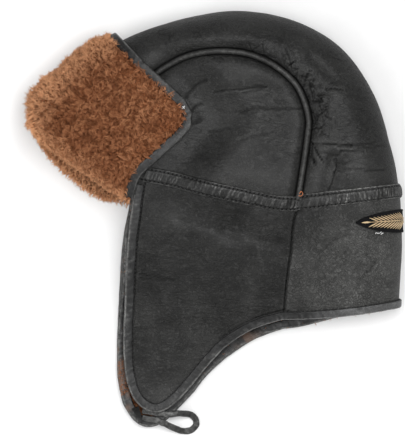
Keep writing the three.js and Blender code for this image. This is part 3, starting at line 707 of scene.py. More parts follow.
def make_hide_grain():
    """Leather grain: a pebbled height, and a mottle for colour and gloss. Its scales are per metre."""
    inputs = {"Fineness": 700.0, "Pebble": 1.0, "Wrinkle": 1.0}
    tree, given, result = shader_group("hide_grain", ("Height", "Mottle"), **inputs)
    place = given["Vector"]
    swirl = node(tree, "ShaderNodeTexNoise", {"Scale": 160.0, "Detail": 2.0, "Vector": place})
    push = node(tree, "ShaderNodeVectorMath", {"Scale": 0.0035, 0: swirl.outputs["Color"]}, operation="SCALE")
    warped = node(tree, "ShaderNodeVectorMath", {0: place, 1: push.outputs[0]}, operation="ADD").outputs[0]
    inputs = {"Vector": warped, "Scale": given["Fineness"]}
    cells = node(tree, "ShaderNodeTexVoronoi", inputs, feature="DISTANCE_TO_EDGE")
    pebble = range_node(tree, cells.outputs["Distance"], 0.0, 0.28, soft=True)
    patch = range_node(tree, noise_node(tree, place, 24.0, 2.0, 0.5, 0.4), 0.38, 0.62, 0.25, 1.2)
    pebble = math_node(tree, "MULTIPLY", pebble, math_node(tree, "MULTIPLY", patch, given["Pebble"]))
    folded = math_node(tree, "ABSOLUTE", off_middle(tree, noise_node(tree, warped, 330.0, 4.0, 0.62, 0.6)))
    wrinkle = math_node(tree, "MULTIPLY", range_node(tree, folded, 0.0, 0.11, soft=True), given["Wrinkle"])
    height = math_node(tree, "ADD", pebble, wrinkle)
    height = math_node(tree, "ADD", height, noise_node(tree, place, 60.0, 4.0, 0.6))
    feed(tree, result["Height"], height)
    cloud = noise_node(tree, place, 38.0, 5.0, 0.62)
    speck = noise_node(tree, place, 900.0, 2.0, 0.5)
    mottle = math_node(tree, "MULTIPLY_ADD", speck, 0.32, math_node(tree, "MULTIPLY", cloud, 0.8))
    # Painted shade and highlight in the grain: the mottle is darker along the fine wrinkle lines and paler on
    # the pebble tops, over its random tone
    mottle = math_node(tree, "MULTIPLY_ADD", wrinkle, 0.2, mottle)
    mottle = math_node(tree, "MULTIPLY_ADD", pebble, 0.22, mottle)
    feed(tree, result["Mottle"], range_node(tree, mottle, 0.52, 1.06))
    return tree


def make_wear_and_highlight():
    """Where an edge or ridge is painted pale, partly as wear and partly as highlight: follows the ridge share
    of the piece and breaks up.
    """
    tree, given, result = shader_group("worn_and_highlit_ridges", ("Mask",), Ridge=0.0, Amount=1.0)
    broken = range_node(tree, noise_node(tree, given["Vector"], 420.0, 5.0, 0.7), 0.35, 0.65)
    patchy = range_node(tree, noise_node(tree, given["Vector"], 45.0, 2.0, 0.5), 0.3, 0.62, 0.35, 1.0)
    total = math_node(tree, "MULTIPLY", math_node(tree, "MULTIPLY", broken, patchy), given["Ridge"])
    feed(tree, result["Mask"], math_node(tree, "MULTIPLY", total, given["Amount"], clamp=True))
    return tree


def make_wool_tone():
    """Colour share along a lock of wool, from its dark root to its pale tip, and the tone of its patch."""
    tree, given, result = shader_group("wool_tone", ("Share", "Warmth"), Along=0.5, Tint=0.5)
    patch = noise_node(tree, given["Vector"], 55.0, 3.0, 0.55)
    fine = noise_node(tree, given["Vector"], 420.0, 2.0, 0.5)
    by_tint = math_node(tree, "MULTIPLY", given["Tint"], 0.3)
    share = math_node(tree, "MULTIPLY_ADD", given["Along"], 0.75, by_tint)
    share = math_node(tree, "MULTIPLY_ADD", off_middle(tree, fine), 0.35, share)
    by_patch = math_node(tree, "MULTIPLY", off_middle(tree, patch), 0.4)
    feed(tree, result["Share"], math_node(tree, "ADD", share, by_patch, clamp=True))
    half_patch = math_node(tree, "MULTIPLY", patch, 0.5)
    feed(tree, result["Warmth"], math_node(tree, "MULTIPLY_ADD", given["Tint"], 0.5, half_patch, clamp=True))
    return tree


def make_crease_lines():
    """Thin wandering crease lines: 1 on a line, in the places that Where allows."""
    tree, given, result = shader_group("crease_lines", ("Mask",), Scale=150.0, Where=0.0)
    lines = []
    for times, thin in ((1.0, 0.02), (2.2, 0.035)):
        scale = math_node(tree, "MULTIPLY", given["Scale"], times)
        wave = noise_node(tree, given["Vector"], scale, 2.0, 0.45, 0.5)
        off = math_node(tree, "ABSOLUTE", off_middle(tree, wave))
        lines.append(range_node(tree, off, 0.0, thin, 1.0, 0.0, soft=True))
    both = math_node(tree, "MAXIMUM", lines[0], math_node(tree, "MULTIPLY", lines[1], 0.75))
    feed(tree, result["Mask"], math_node(tree, "MULTIPLY", both, given["Where"], clamp=True))
    return tree


GRAIN = make_hide_grain()
CREASE_LINES = make_crease_lines()
WEAR_AND_HIGHLIGHT = make_wear_and_highlight()
WOOL = make_wool_tone()


def place_group(tree, group, **inputs):
    return node(tree, "ShaderNodeGroup", inputs, node_tree=group).outputs


def new_material(name):
    material = bpy.data.materials.new(name)
    material.use_nodes = True
    tree = material.node_tree
    vector = tree.nodes.new("ShaderNodeTexCoord").outputs["Object"]
    return material, tree, tree.nodes["Principled BSDF"], vector


def attribute(tree, name):
    return node(tree, "ShaderNodeAttribute", attribute_name=name).outputs["Fac"]


def add_relief(tree, shader, height, strength, distance):
    relief = node(tree, "ShaderNodeBump", {"Strength": strength, "Distance": distance, "Height": height})
    feed(tree, shader.inputs["Normal"], relief.outputs["Normal"])


def hide(
    name, dark, pale, rubbed_and_highlight, gloss=(0.42, 0.6), pebble=0.6, wrinkle=0.5, bump=0.3, amount=1.0,
    fineness=650.0, specular=0.14, coat=0.26, long_creases=0.0, suede=None, stretched=0.0,
):
    """Leather: tones of its dark and pale mottle, its ridges painted pale as wear and as highlight, and its
    hollows painted dark as shade; and gloss from smooth to dull.
    """
    material, tree, shader, vector = new_material(name)
    grain = place_group(tree, GRAIN, Vector=vector, Pebble=pebble, Wrinkle=wrinkle, Fineness=fineness)
    worn = place_group(tree, WEAR_AND_HIGHLIGHT, Vector=vector, Ridge=attribute(tree, "ridge"), Amount=amount)["Mask"]
    crumpled = place_group(tree, CREASE_LINES, Vector=vector, Scale=150.0, Where=attribute(tree, "crumple"))
    patch = range_node(tree, noise_node(tree, vector, 28.0, 2.0), 0.38, 0.62, 0.0, long_creases, soft=True)
    lying = vector_scale(tree, vector, (0.3, 1.0, 1.0))
    lengthwise = place_group(tree, CREASE_LINES, Vector=lying, Scale=140.0, Where=patch)
    crease = math_node(tree, "MAXIMUM", crumpled["Mask"], lengthwise["Mask"])
    painted_shade = math_node(tree, "MAXIMUM", attribute(tree, "groove"), crease)
    base = colour_mix(tree, grain["Mottle"], dark, pale)
    # Ridges, rims and edges are painted pale, partly as wear and partly as a painted highlight
    base = colour_mix(tree, worn, base, rubbed_and_highlight)
    # Painted shade: grooves, seams, ditches and creases are mixed toward a fifth of the dark tone
    base = colour_mix(tree, painted_shade, base, tuple(c * 0.2 for c in dark))
    if suede:
        base = colour_mix(tree, attribute(tree, "suede"), base, suede)
    lightness = math_node(tree, "ADD", attribute(tree, "shade"), 1.0)
    shaded = node(tree, "ShaderNodeVectorMath", {0: base, "Scale": lightness}, operation="SCALE")
    rough = range_node(tree, grain["Mottle"], 0.0, 1.0, gloss[0], gloss[1])
    polish = range_node(tree, grain["Mottle"], 0.0, 1.0, coat * 0.7, coat)
    polish = math_node(tree, "MULTIPLY_ADD", worn, coat * 0.6, polish)
    slant = node(tree, "ShaderNodeLayerWeight", {"Blend": 0.5})
    facing = math_node(tree, "SUBTRACT", 1.0, slant.outputs["Facing"], clamp=True)
    open_share = math_node(tree, "MULTIPLY", math_node(tree, "SUBTRACT", 1.0, painted_shade, clamp=True), facing)
    feed_all(tree, shader, {
        "Base Color": shaded.outputs[0],
        "Roughness": math_node(tree, "MULTIPLY_ADD", painted_shade, 0.3, rough, clamp=True),
        "Specular IOR Level": specular,
        "Coat Weight": math_node(tree, "MULTIPLY", polish, open_share, clamp=True),
        "Coat Roughness": gloss[0],
    })
    height = math_node(tree, "MULTIPLY_ADD", crease, -2.5, grain["Height"])
    if stretched:
        drawn = noise_node(tree, vector_scale(tree, vector, (0.36, 1.0, 1.0)), 290.0, 3.0, 0.6, 1.4)
        height = math_node(tree, "MULTIPLY_ADD", drawn, stretched, height)
    add_relief(tree, shader, height, bump, 0.0008)
    return material


PALE_WOOL = (0.74, 0.39, 0.205)


def wool(name, root, body, tip, bump=0.0):
    """Sheepskin: tones of the root, body and tip of its locks, and a curled bump where it isn't in locks."""
    material, tree, shader, vector = new_material(name)
    inputs = {"Vector": vector, "Along": attribute(tree, "along"), "Tint": attribute(tree, "tint")}
    tone = place_group(tree, WOOL, **inputs)
    low = colour_mix(tree, range_node(tree, tone["Share"], 0.0, 0.5, soft=True), root, body)
    full = colour_mix(tree, range_node(tree, tone["Share"], 0.45, 1.0, soft=True), low, tip)
    # Painted shade between the tufts: where the deep share is high, the wool is mixed toward a darker root
    # tone
    full = colour_mix(tree, attribute(tree, "deep"), full, tuple(c * 0.55 for c in root))
    # On the flap's pile the pale share is partly the wool's own paler tone and partly painted light: a
    # backlit outline, and the shaded lower lip of the brow fold made paler
    colour = colour_mix(tree, attribute(tree, "pale"), full, PALE_WOOL)
    feed_all(tree, shader, {"Base Color": colour, "Roughness": 0.75, "Specular IOR Level": 0.08})
    feed(tree, shader.inputs["Sheen Roughness"], 0.4)
    if bump:
        add_relief(tree, shader, noise_node(tree, vector, 420.0, 4.0, 0.65, 1.2), bump, 0.002)
    return material


def thread(name, colour, shade):
    material, tree, shader, vector = new_material(name)
    twist = node(tree, "ShaderNodeTexWave", {"Scale": 900.0, "Distortion": 2.0, "Vector": vector})
    strands = twist.outputs["Fac"]
    feed_all(tree, shader, {"Base Color": colour_mix(tree, strands, shade, colour), "Roughness": 0.55})
    add_relief(tree, shader, strands, 0.4, 0.0003)
    return material


BLACK_HIDE = hide(
    "charcoal_hide", (0.007, 0.007, 0.0067), (0.035, 0.035, 0.0337), (0.08, 0.08, 0.077),
    bump=0.65, long_creases=0.45, wrinkle=0.7, stretched=2.5,
)
FLAP_HIDE = hide(
    "ear_flap_hide", (0.012, 0.012, 0.0116), (0.045, 0.045, 0.0433), (0.07, 0.07, 0.068),
    bump=0.85, wrinkle=0.7, long_creases=0.3, stretched=4.5,
)
NECK_HIDE = hide(
    "neck_hide", (0.036, 0.036, 0.0347), (0.118, 0.118, 0.1135), (0.16, 0.16, 0.155),
    bump=0.8, wrinkle=0.9, pebble=1.1, long_creases=0.3, fineness=520.0,
)
BAND_HIDE = hide(
    "band_hide", (0.005, 0.005, 0.0048), (0.018, 0.018, 0.0174), (0.15, 0.15, 0.145),
    gloss=(0.36, 0.5), bump=0.4, amount=1.3,
)
BINDING_HIDE = hide(
    "binding_hide", (0.012, 0.012, 0.012), (0.036, 0.0365, 0.037), (0.19, 0.19, 0.184),
    gloss=(0.34, 0.48), bump=0.4, amount=1.7, coat=0.3, suede=(0.13, 0.08, 0.057),
)
CORD_HIDE = hide(
    "piping_hide", (0.008, 0.008, 0.0077), (0.024, 0.024, 0.023), (0.08, 0.08, 0.077),
    gloss=(0.4, 0.5), bump=0.3, coat=0.14,
)
THONG_HIDE = hide(
    "thong_hide", (0.006, 0.006, 0.0058), (0.018, 0.018, 0.0174), (0.15, 0.15, 0.145),
    gloss=(0.3, 0.42), bump=0.5, wrinkle=1.2, amount=1.6,
)
RED_WOOL = wool("fleece_pile", (0.185, 0.062, 0.026), (0.27, 0.099, 0.043), (0.385, 0.162, 0.075))
BASE_WOOL = wool("fleece_base", (0.16, 0.054, 0.022), (0.25, 0.092, 0.038), (0.36, 0.15, 0.066), bump=0.9)
LINING_WOOL = wool("lining_pile", (0.06, 0.022, 0.01), (0.2, 0.08, 0.036), (0.38, 0.18, 0.09), bump=0.9)
BLACK_THREAD = thread("black_thread", (0.022, 0.022, 0.022), (0.008, 0.008, 0.008))
ORANGE_THREAD = thread("orange_thread", (0.5, 0.17, 0.06), (0.25, 0.07, 0.025))
GOLD_THREAD = thread("gold_thread", (0.72, 0.55, 0.34), (0.42, 0.29, 0.15))
WHITE_THREAD = thread("white_thread", (0.75, 0.75, 0.75), (0.5, 0.5, 0.5))


# Geometry Nodes that plant locks of wool on a base and sew stitches along a path
def geometry_tree(name, **inputs):
    """A tree, the identifiers of its inputs, and the sockets of its input and output nodes."""
    tree = bpy.data.node_groups.new(name, "GeometryNodeTree")
    sockets = {}
    for key, kind in {"Geometry": "Geometry", **inputs, "Material": "Material"}.items():
        socket = tree.interface.new_socket(key, in_out="INPUT", socket_type="NodeSocket" + kind)
        sockets[key] = socket.identifier
    tree.interface.new_socket("Geometry", in_out="OUTPUT", socket_type="NodeSocketGeometry")
    return tree, sockets, tree.nodes.new("NodeGroupInput").outputs, tree.nodes.new("NodeGroupOutput").inputs


def named_attribute(tree, name, kind="FLOAT_VECTOR"):
    return node(tree, "GeometryNodeInputNamedAttribute", {"Name": name}, data_type=kind).outputs["Attribute"]


def aligned(tree, axis, inputs, **settings):
    return node(tree, "FunctionNodeAlignRotationToVector", inputs, axis=axis, **settings).outputs["Rotation"]


def realize(tree, instances, given, result):
    real = node(tree, "GeometryNodeRealizeInstances", {"Geometry": instances}).outputs["Geometry"]
    paint = node(tree, "GeometryNodeSetMaterial", {"Geometry": real, "Material": given["Material"]})
    feed(tree, result["Geometry"], paint.outputs["Geometry"])


def planting_tree():
    """Locks on the faces of a base: each stands along the base's comb, scaled by its height."""
    inputs = {"Locks": "Collection", "Spacing": "Float", "Length": "Float", "Seed": "Int"}
    tree, sockets, given, result = geometry_tree("plant_locks", **inputs)
    spots = node(tree, "GeometryNodeDistributePointsOnFaces", distribute_method="POISSON")
    feed_all(tree, spots, {
        "Mesh": given["Geometry"],
        "Distance Min": given["Spacing"],
        "Density Max": 2.5e6,
        "Density Factor": named_attribute(tree, "density", "FLOAT"),
        "Seed": given["Seed"],
    })
    aim = aligned(tree, "Z", {"Vector": named_attribute(tree, "comb")})
    spin = node(tree, "FunctionNodeRandomValue", data_type="FLOAT_VECTOR")
    feed_all(tree, spin, {"Min": (-0.25, -0.25, 0.0), "Max": (0.25, 0.25, 6.283), "Seed": given["Seed"]})
    turn = node(tree, "FunctionNodeEulerToRotation", {"Euler": spin.outputs["Value"]}).outputs["Rotation"]
    rotate = node(tree, "FunctionNodeRotateRotation", rotation_space="LOCAL")
    feed_all(tree, rotate, {"Rotation": aim, "Rotate By": turn})
    uneven = node(tree, "FunctionNodeRandomValue", {2: 0.75, 3: 1.2}, data_type="FLOAT").outputs[1]
    tall = math_node(tree, "MULTIPLY", named_attribute(tree, "height", "FLOAT"), given["Length"])
    tall = math_node(tree, "MULTIPLY", tall, uneven)
    wide = math_node(tree, "MULTIPLY", given["Length"], uneven)
    kinds = node(tree, "GeometryNodeCollectionInfo", {"Separate Children": True, "Reset Children": True})
    feed(tree, kinds.inputs["Collection"], given["Locks"])
    locks = node(tree, "GeometryNodeInstanceOnPoints", {
        "Pick Instance": True,
        "Points": spots.outputs["Points"],
        "Instance": kinds.outputs["Instances"],
        "Rotation": rotate.outputs["Rotation"],
        "Scale": node(tree, "ShaderNodeCombineXYZ", {0: wide, 1: wide, 2: tall}).outputs[0],
    })
    tint = node(tree, "FunctionNodeRandomValue", {"Seed": given["Seed"]}, data_type="FLOAT").outputs[1]
    tinted = node(tree, "GeometryNodeStoreNamedAttribute", data_type="FLOAT", domain="INSTANCE")
    feed_all(tree, tinted, {"Name": "tint", "Geometry": locks.outputs["Instances"], "Value": tint})
    realize(tree, tinted.outputs["Geometry"], given, result)
    return tree, sockets


def stitching_tree():
    """One stitch on each point of a path, laid along the path's run and standing on its up."""
    tree, sockets, given, result = geometry_tree("sew_stitches", Stitch="Object", Size="Float")
    lie = aligned(tree, "X", {"Vector": named_attribute(tree, "run")})
    stand = aligned(tree, "Z", {"Rotation": lie, "Vector": named_attribute(tree, "up")}, pivot_axis="X")
    one = node(tree, "GeometryNodeObjectInfo", {"Object": given["Stitch"]})
    sewn = node(tree, "GeometryNodeInstanceOnPoints", {
        "Points": given["Geometry"],
        "Instance": one.outputs["Geometry"],
        "Rotation": stand,
        "Scale": given["Size"],
    })
    realize(tree, sewn.outputs["Instances"], given, result)
    return tree, sockets


PLANTING = planting_tree()
STITCHING = stitching_tree()


def grown(name, base, tree_and_sockets, values, material):
    """The plain mesh that a tree makes on a base object, which is then removed."""
    tree, sockets = tree_and_sockets
    grow = base.modifiers.new("grow", "NODES")
    grow.node_group = tree
    for key, value in values.items():
        grow[sockets[key]] = value
    grow[sockets["Material"]] = material
    sight = bpy.context.evaluated_depsgraph_get()
    whole = base.evaluated_get(sight)
    mesh = bpy.data.meshes.new_from_object(whole, preserve_all_data_layers=True, depsgraph=sight)
    mesh.name = name
    bpy.data.objects.remove(base)
    places = np.empty(len(mesh.vertices) * 3, np.float32)
    mesh.vertices.foreach_get("co", places)
    places[2::3] = np.maximum(places[2::3], 0.0)
    mesh.vertices.foreach_set("co", places)
    mesh.polygons.foreach_set("use_smooth", np.ones(len(mesh.polygons), bool))
    return add_object(name, mesh)


def plain_mesh(name, points, faces, attributes=None):
    """A helper mesh in its own units, kept out of the scene."""
    mesh = bpy.data.meshes.new(name)
    mesh.from_pydata(points, [], faces)
    add_attributes(mesh, attributes)
    return bpy.data.objects.new(name, mesh)


LOCK_HAIRS = 4
LOCK_FOOT = 0.2


def lock_of_wool(name, seed, lean, width):
    """A lock one unit tall: a few closed three-sided hairs that lean together and bend over at the tip."""
    rng = np.random.default_rng(seed)
    points, faces, along = [], [], []
    bend = rng.uniform(*lean)
    for k in range(LOCK_HAIRS):
        a = 2 * np.pi * (k + rng.uniform(-0.3, 0.3)) / LOCK_HAIRS
        foot = LOCK_FOOT * rng.uniform(0.5, 1.0) * np.array([np.cos(a), np.sin(a)])
        mid = foot * 0.75 + rng.uniform(-0.07, 0.07, 2)
        tip = foot * rng.uniform(0.15, 0.6) + [bend, 0] + rng.uniform(-0.1, 0.1, 2)
        top = rng.uniform(0.78, 1.05)
        first = len(points)
        twist = rng.uniform(0, 2 * np.pi)
        for (cx, cy), z, w in ((foot, 0.0, width), (mid, 0.55, width * 0.85)):
            for j in range(3):
                b = twist + 2 * np.pi * j / 3
                points.append((cx + w * np.cos(b), cy + w * np.sin(b), z))
                along.append(z)
        points.append((tip[0], tip[1], top))
        along.append(1.0)
        for j in range(3):
            i, n = first + j, first + (j + 1) % 3
            faces += [(i, n, n + 3), (i, n + 3, i + 3), (i + 3, n + 3, first + 6)]
        faces.append((first + 2, first + 1, first))
    return plain_mesh(name, points, faces, {"along": along})


lock_kinds = bpy.data.collections.new("lock_kinds")
curl_kinds = bpy.data.collections.new("curl_kinds")
for kind in range(5):
    lock_kinds.objects.link(lock_of_wool(f"lock_{kind}", 40 + kind, (0.35, 0.65), 0.05))
    curl_kinds.objects.link(lock_of_wool(f"curl_{kind}", 60 + kind, (0.4, 0.75), 0.06))


def stitch_shape():
    """A stitch 2.6 long and 0.8 wide in millimetres: a short fat thread whose ends dip into the hide."""
    points, faces = [], []
    half = [(-1.3, -0.35, 0.05), (-1.05, 0.02, 0.3), (-0.4, 0.2, 0.4)]
    stations = half + [(-x, z, w) for x, z, w in reversed(half)]
    for x, z, w in stations:
        for j in range(6):
            b = 2 * np.pi * j / 6
            points.append((x, w * np.cos(b), z + 0.7 * w * np.sin(b)))
    for s in range(len(stations) - 1):
        for j in range(6):
            a, b = s * 6 + j, s * 6 + (j + 1) % 6
            faces.append((a, a + 6, b + 6, b))
    faces.append(tuple(range(6)))
    faces.append(tuple(range(len(points) - 1, len(points) - 7, -1)))
    return plain_mesh("stitch", points, faces)


ONE_STITCH = stitch_shape()


def resample(points, pitch):
    """Points a pitch apart along a path, with the real index of each."""
    run = run_along(points)
    count = max(2, int(run[-1] / pitch) + 1)
    at = np.linspace(0, run[-1], count)
    index = np.interp(at, run, np.arange(len(points)))
    return columns_at(at, run, points), index


def columns_at(at, places, values):
    """The values' columns, each read at the given places between its own."""
    return np.stack([np.interp(at, places, column) for column in values.T], -1)


def sew(name, points, ups, pitch, size):
    """A row of stitches along a path in pattern millimetres."""
    places, index = resample(points, pitch)
    path = bpy.data.meshes.new(name + "_path")
    path.from_pydata(to_frame(places), [], [])
    frames = {"run": np.gradient(places, axis=0), "up": columns_at(index, np.arange(len(ups)), ups)}
    add_attributes(path, frames, "FLOAT_VECTOR", "vector")
    values = {"Stitch": ONE_STITCH, "Size": size * MM}
    return grown(name, add_object(name + "_path", path), STITCHING, values, BLACK_THREAD)


def plant(name, grid, comb, height, density, pale, spacing, length, seed, deep=None, locks=None):
    """Locks of wool on a grid in pattern millimetres."""
    # The deep share is painted shade between the tufts
    looks = {"height": height, "density": density, "pale": pale, "deep": pale * 0 if deep is None else deep}
    base = make_mesh(name + "_base", grid, [quads_of(numbers_of(grid))], RED_WOOL, looks)
    add_attributes(base.data, {"comb": comb}, "FLOAT_VECTOR", "vector")
    values = {"Locks": locks or lock_kinds, "Spacing": spacing * MM, "Length": length * MM, "Seed": seed}
    return grown(name, base, PLANTING, values, RED_WOOL)


# Camera, light and floor
scene = bpy.context.scene
middle = to_frame(VIEW_MIDDLE)[0]
eye = bpy.data.cameras.new("eye")
eye.sensor_width = SENSOR
eye.lens = SENSOR * (CAMERA_HEIGHT - VIEW_MIDDLE[2]) / (PHOTO_HIGH * PIXEL)
eye.clip_end = 20.0
camera = bpy.data.objects.new("camera", eye)
camera.location = (middle[0], middle[1], CAMERA_HEIGHT * MM)
scene.collection.objects.link(camera)
scene.camera = camera

world = bpy.data.worlds.new("studio")
world.use_nodes = True
sky = world.node_tree
heading = node(sky, "ShaderNodeTexCoord").outputs["Generated"]
skyward = node(sky, "ShaderNodeSeparateXYZ", {0: heading}).outputs[2]
brightness = range_node(sky, skyward, 0.0, 1.0, 0.26, 0.62)
feed_all(sky, sky.nodes["Background"], {"Color": (1.0, 1.0, 1.0), "Strength": brightness})
scene.world = world
scene.view_settings.view_transform = "Standard"


def soft_light(name, place, size, power):
    """A square softbox that looks at the middle of the object, placed in metres from it."""
    light = bpy.data.lights.new(name, "AREA")
    light.size = size
    light.energy = power
    lamp = bpy.data.objects.new(name, light)
    lamp.location = Vector(middle) + Vector(place)
    lamp.rotation_euler = Vector(place).to_track_quat("Z", "Y").to_euler()
    scene.collection.objects.link(lamp)


soft_light("window", place=(0.24, 0.16, 1.65), size=0.8, power=21.0)
soft_light("fill", place=(-0.8, -0.3, 1.2), size=1.2, power=9.5)


PAPER_GLOW = 0.13


def floor_material():
    material, tree, shader, vector = new_material("paper_floor")
    grain = range_node(tree, noise_node(tree, vector, 40.0, 3.0), 0.3, 0.7, 0.73, 0.75)
    seen = node(tree, "ShaderNodeLightPath").outputs["Is Camera Ray"]
    feed_all(tree, shader, {
        "Base Color": node(tree, "ShaderNodeCombineColor", {0: grain, 1: grain, 2: grain}).outputs[0],
        "Roughness": 0.9,
        "Specular IOR Level": 0.1,
        "Emission Color": (1.0, 1.0, 1.0),
        "Emission Strength": math_node(tree, "MULTIPLY", seen, PAPER_GLOW),
    })
    return material


FLOOR_REACH = 4.0
floor_mesh = bpy.data.meshes.new("floor")
corners = [(x * FLOOR_REACH, y * FLOOR_REACH, 0) for x, y in ((-1, -1), (1, -1), (1, 1), (-1, 1))]
floor_mesh.from_pydata(corners, [], [(0, 1, 2, 3)])
floor_mesh.materials.append(floor_material())
floor = bpy.data.objects.new("floor", floor_mesh)
floor.location = (0, 0, cad_box[0][2])
scene.collection.objects.link(floor)


# Leather of the shell
def wandering(x, y, share=1.0):
    """Plan places pushed about a little, so that straight lines on them come out natural."""
    p = points_of(x, y, 0.0)
    dx = 1.7 * noise(p, 11, 201) + 0.6 * noise(p, 3.6, 202)
    dy = 1.7 * noise(p, 11, 203) + 0.6 * noise(p, 3.6, 204)
    return x + dx * share, y + dy * share


def crumple_network():
    """Short creases that run out from the welt and across each other, where the crown is crumpled."""
    rng = np.random.default_rng(5)
    lines = []
    for first, last, count, reach in NETWORK_PARTS:
        for k in range(count):
            row = rng.uniform(first, last)
            two = sample(SECTIONS, np.array([row, row + 0.1]))[:, 2:4]
            way = (two[1] - two[0]) / np.hypot(*(two[1] - two[0]))
            out = np.array([-way[1], way[0]])
            start = two[0] + out * rng.uniform(2.5, reach)
            turn = rng.uniform(-0.9, 0.9) if k % 3 else rng.uniform(1.2, 1.9)
            run = (out * np.cos(turn) + way * np.sin(turn)) * rng.uniform(2.5, 7)
            lines.append([*start, *(start + run), rng.uniform(0.2, 0.5), rng.uniform(0.6, 0.85)])
    return lines


def crumpled_share(grid, near):
    x, y = grid[..., 0], grid[..., 1]
    share = 0
    for cx, cy, radius in CRUMPLE:
        share = share + np.exp(-(((x - cx) ** 2 + (y - cy) ** 2) / radius**2))
    return near * np.minimum(share, 1)


NETWORK = np.array(crumple_network())
# Relief of the leather: the z where the near side begins, and the depths, widths and places of dips
NEAR_FROM = 26
NEAR_RISE = 14
WELT_DIP = 2.1
WELT_DIP_WIDTH = 2.7
CORD_EDGE = 2.3
NECK_SEAM_DIP = 0.5
DITCH_DIP = 0.6
DITCH_INSET = 5.8


def relief_of(grid, normals):
    """How far the leather stands out from its form, in millimetres, its crumpled share, and its share painted
    dark as shade beside the piping, in the neck seam and the hem's ditch, and along creases.
    """
    x, y, z = np.moveaxis(grid, -1, 0)
    near = rise(z, NEAR_FROM, NEAR_RISE) * (normals[..., 2] > -0.2)
    out = 0.26 * noise(grid, 21, 3) + 0.13 * noise(grid, 9, 4) + 0.05 * noise(grid, 3.5, 5)
    crumple = crumpled_share(grid, near)
    fold = bell(noise(grid, 6.5, 6), 0.22) + 0.7 * bell(noise(grid, 3.4, 7), 0.28)
    out = out + crumple * (0.3 * noise(grid, 4.2, 8) - 0.3 * fold)
    wx, wy = wandering(x, y)
    sharp = ALL_CREASES * [1, 1, 1, 1, 0.8, 0.62]
    lines = lines_sum(sharp, wx, wy)
    wide = lines_sum(ALL_CREASES * [1, 1, 1, 1, 0.3, 1.9], wx, wy)
    out = out - near * (lines - 0.5 * wide)
    net = near * lines_sum(NETWORK, *wandering(x, y, 0.5))
    out = out - net
    welt = line_distance(WELT_LINE, x, y)
    out = out - WELT_DIP * bell(welt, WELT_DIP_WIDTH)
    neck_seam = line_distance(NECK_SEAM, x, y)
    out = out - NECK_SEAM_DIP * bell(neck_seam, 0.9)
    hem_line = line_distance(NEAR_HEM, x, y)
    ditch = near * bell(hem_line - DITCH_INSET, 0.7)
    out = out - DITCH_DIP * ditch
    # Painted shade: beside and under the piping cord, along the neck seam and the hem's ditch, and along the
    # sharper creases and the crumpled network
    beside_cord = bell(welt - CORD_EDGE, 1.1) + (welt < CORD_EDGE)
    sewn = 0.55 * bell(neck_seam, 0.6) + 0.6 * ditch
    thin = lines_sum(sharp[sharp[:, 5] < 1.5], wx, wy)
    lined = near * np.clip(thin * 0.75, 0, 0.5) + np.clip(net * 1.1, 0, 0.6)
    return out, crumple * 0.4, np.clip(beside_cord + sewn, 0, 1) + lined


def bends(relief, gain):
    """Shares of ridge and groove from how the relief bends."""
    padded = np.pad(relief, 1, mode="edge")
    lap = (padded[:-2, 1:-1] + padded[2:, 1:-1] + padded[1:-1, :-2] + padded[1:-1, 2:]) / 4 - relief
    return np.clip(-lap * gain, 0, 1), np.clip(lap * gain, 0, 1)


# Where the tone changes: pattern x or y, and the length of the change
NECK_FRONT = (84, 60)
NECK_TOP = (-100, 45)
EAR_TIP = (-100, 60)


def neck_shade(x, y):
    """The neck panel is as dark as the ear flap beside it, and paler toward the back."""
    front = fall(x, *NECK_FRONT)
    high = rise(y, *NECK_TOP)
    return -(0.36 * front + 0.35 * front * high + 0.2 * high)


def ear_shade(x, y):
    """The ear flap is a little paler toward its tip."""
    return 0.3 * fall(y, *EAR_TIP)


def leather(name, grid, sign, material, shade=None):
    """A leather panel on an outer grid, with its relief, and a coarser inner side."""
    normals = normals_of(grid, sign)
    relief, crumple, dark = relief_of(grid, normals)
    outer = grid + normals * relief[..., None]
    coarse = outer[::4, ::4]
    inner = coarse - normals_of(coarse, sign) * LEATHER
    ridge, groove = bends(relief, 3.0)
    # The relief's ridges are painted pale as wear and highlight, its hollows, seams and creases dark as shade
    looks = {"ridge": ridge, "groove": np.clip(groove * 0.5 + dark * 0.9, 0, 1), "crumple": crumple}
    if shade is not None:
        looks["shade"] = shade(grid[..., 0], grid[..., 1])
    return plate(name, outer, inner, material, looks)


def spread(parts):
    """Shares from 0 to 1 in runs of equal steps: each part gives its end and its number of cells."""
    values, start = [0.0], 0.0
    for end, cells in parts:
        values += list(np.linspace(start, end, cells + 1)[1:])
        start = end
    return np.array(values)


def centre_grid(nu, nv, first, last, room, across=None):
    u, v = np.meshgrid(np.linspace(0, 1, nu + 1) if across is None else across, np.linspace(0, 1, nv + 1))
    return across_rib(mix(first, last, v), u, room)


VISIBLE_ROOM = 1.2
NECK_ROOM = 0.1
LINING_INSET = 2.2
ABOVE_BAND = BAND_ROW - 0.03
BELOW_BAND = BAND_ROW + 0.03
SIDES = (("left", True, -1), ("right", False, 1))


def dress(piece, slot, *nodes):
    """Puts a piece on the cap's one body, in place of the nodes that it stands for."""
    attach(piece, "root")
    if nodes:
        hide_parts(*nodes)


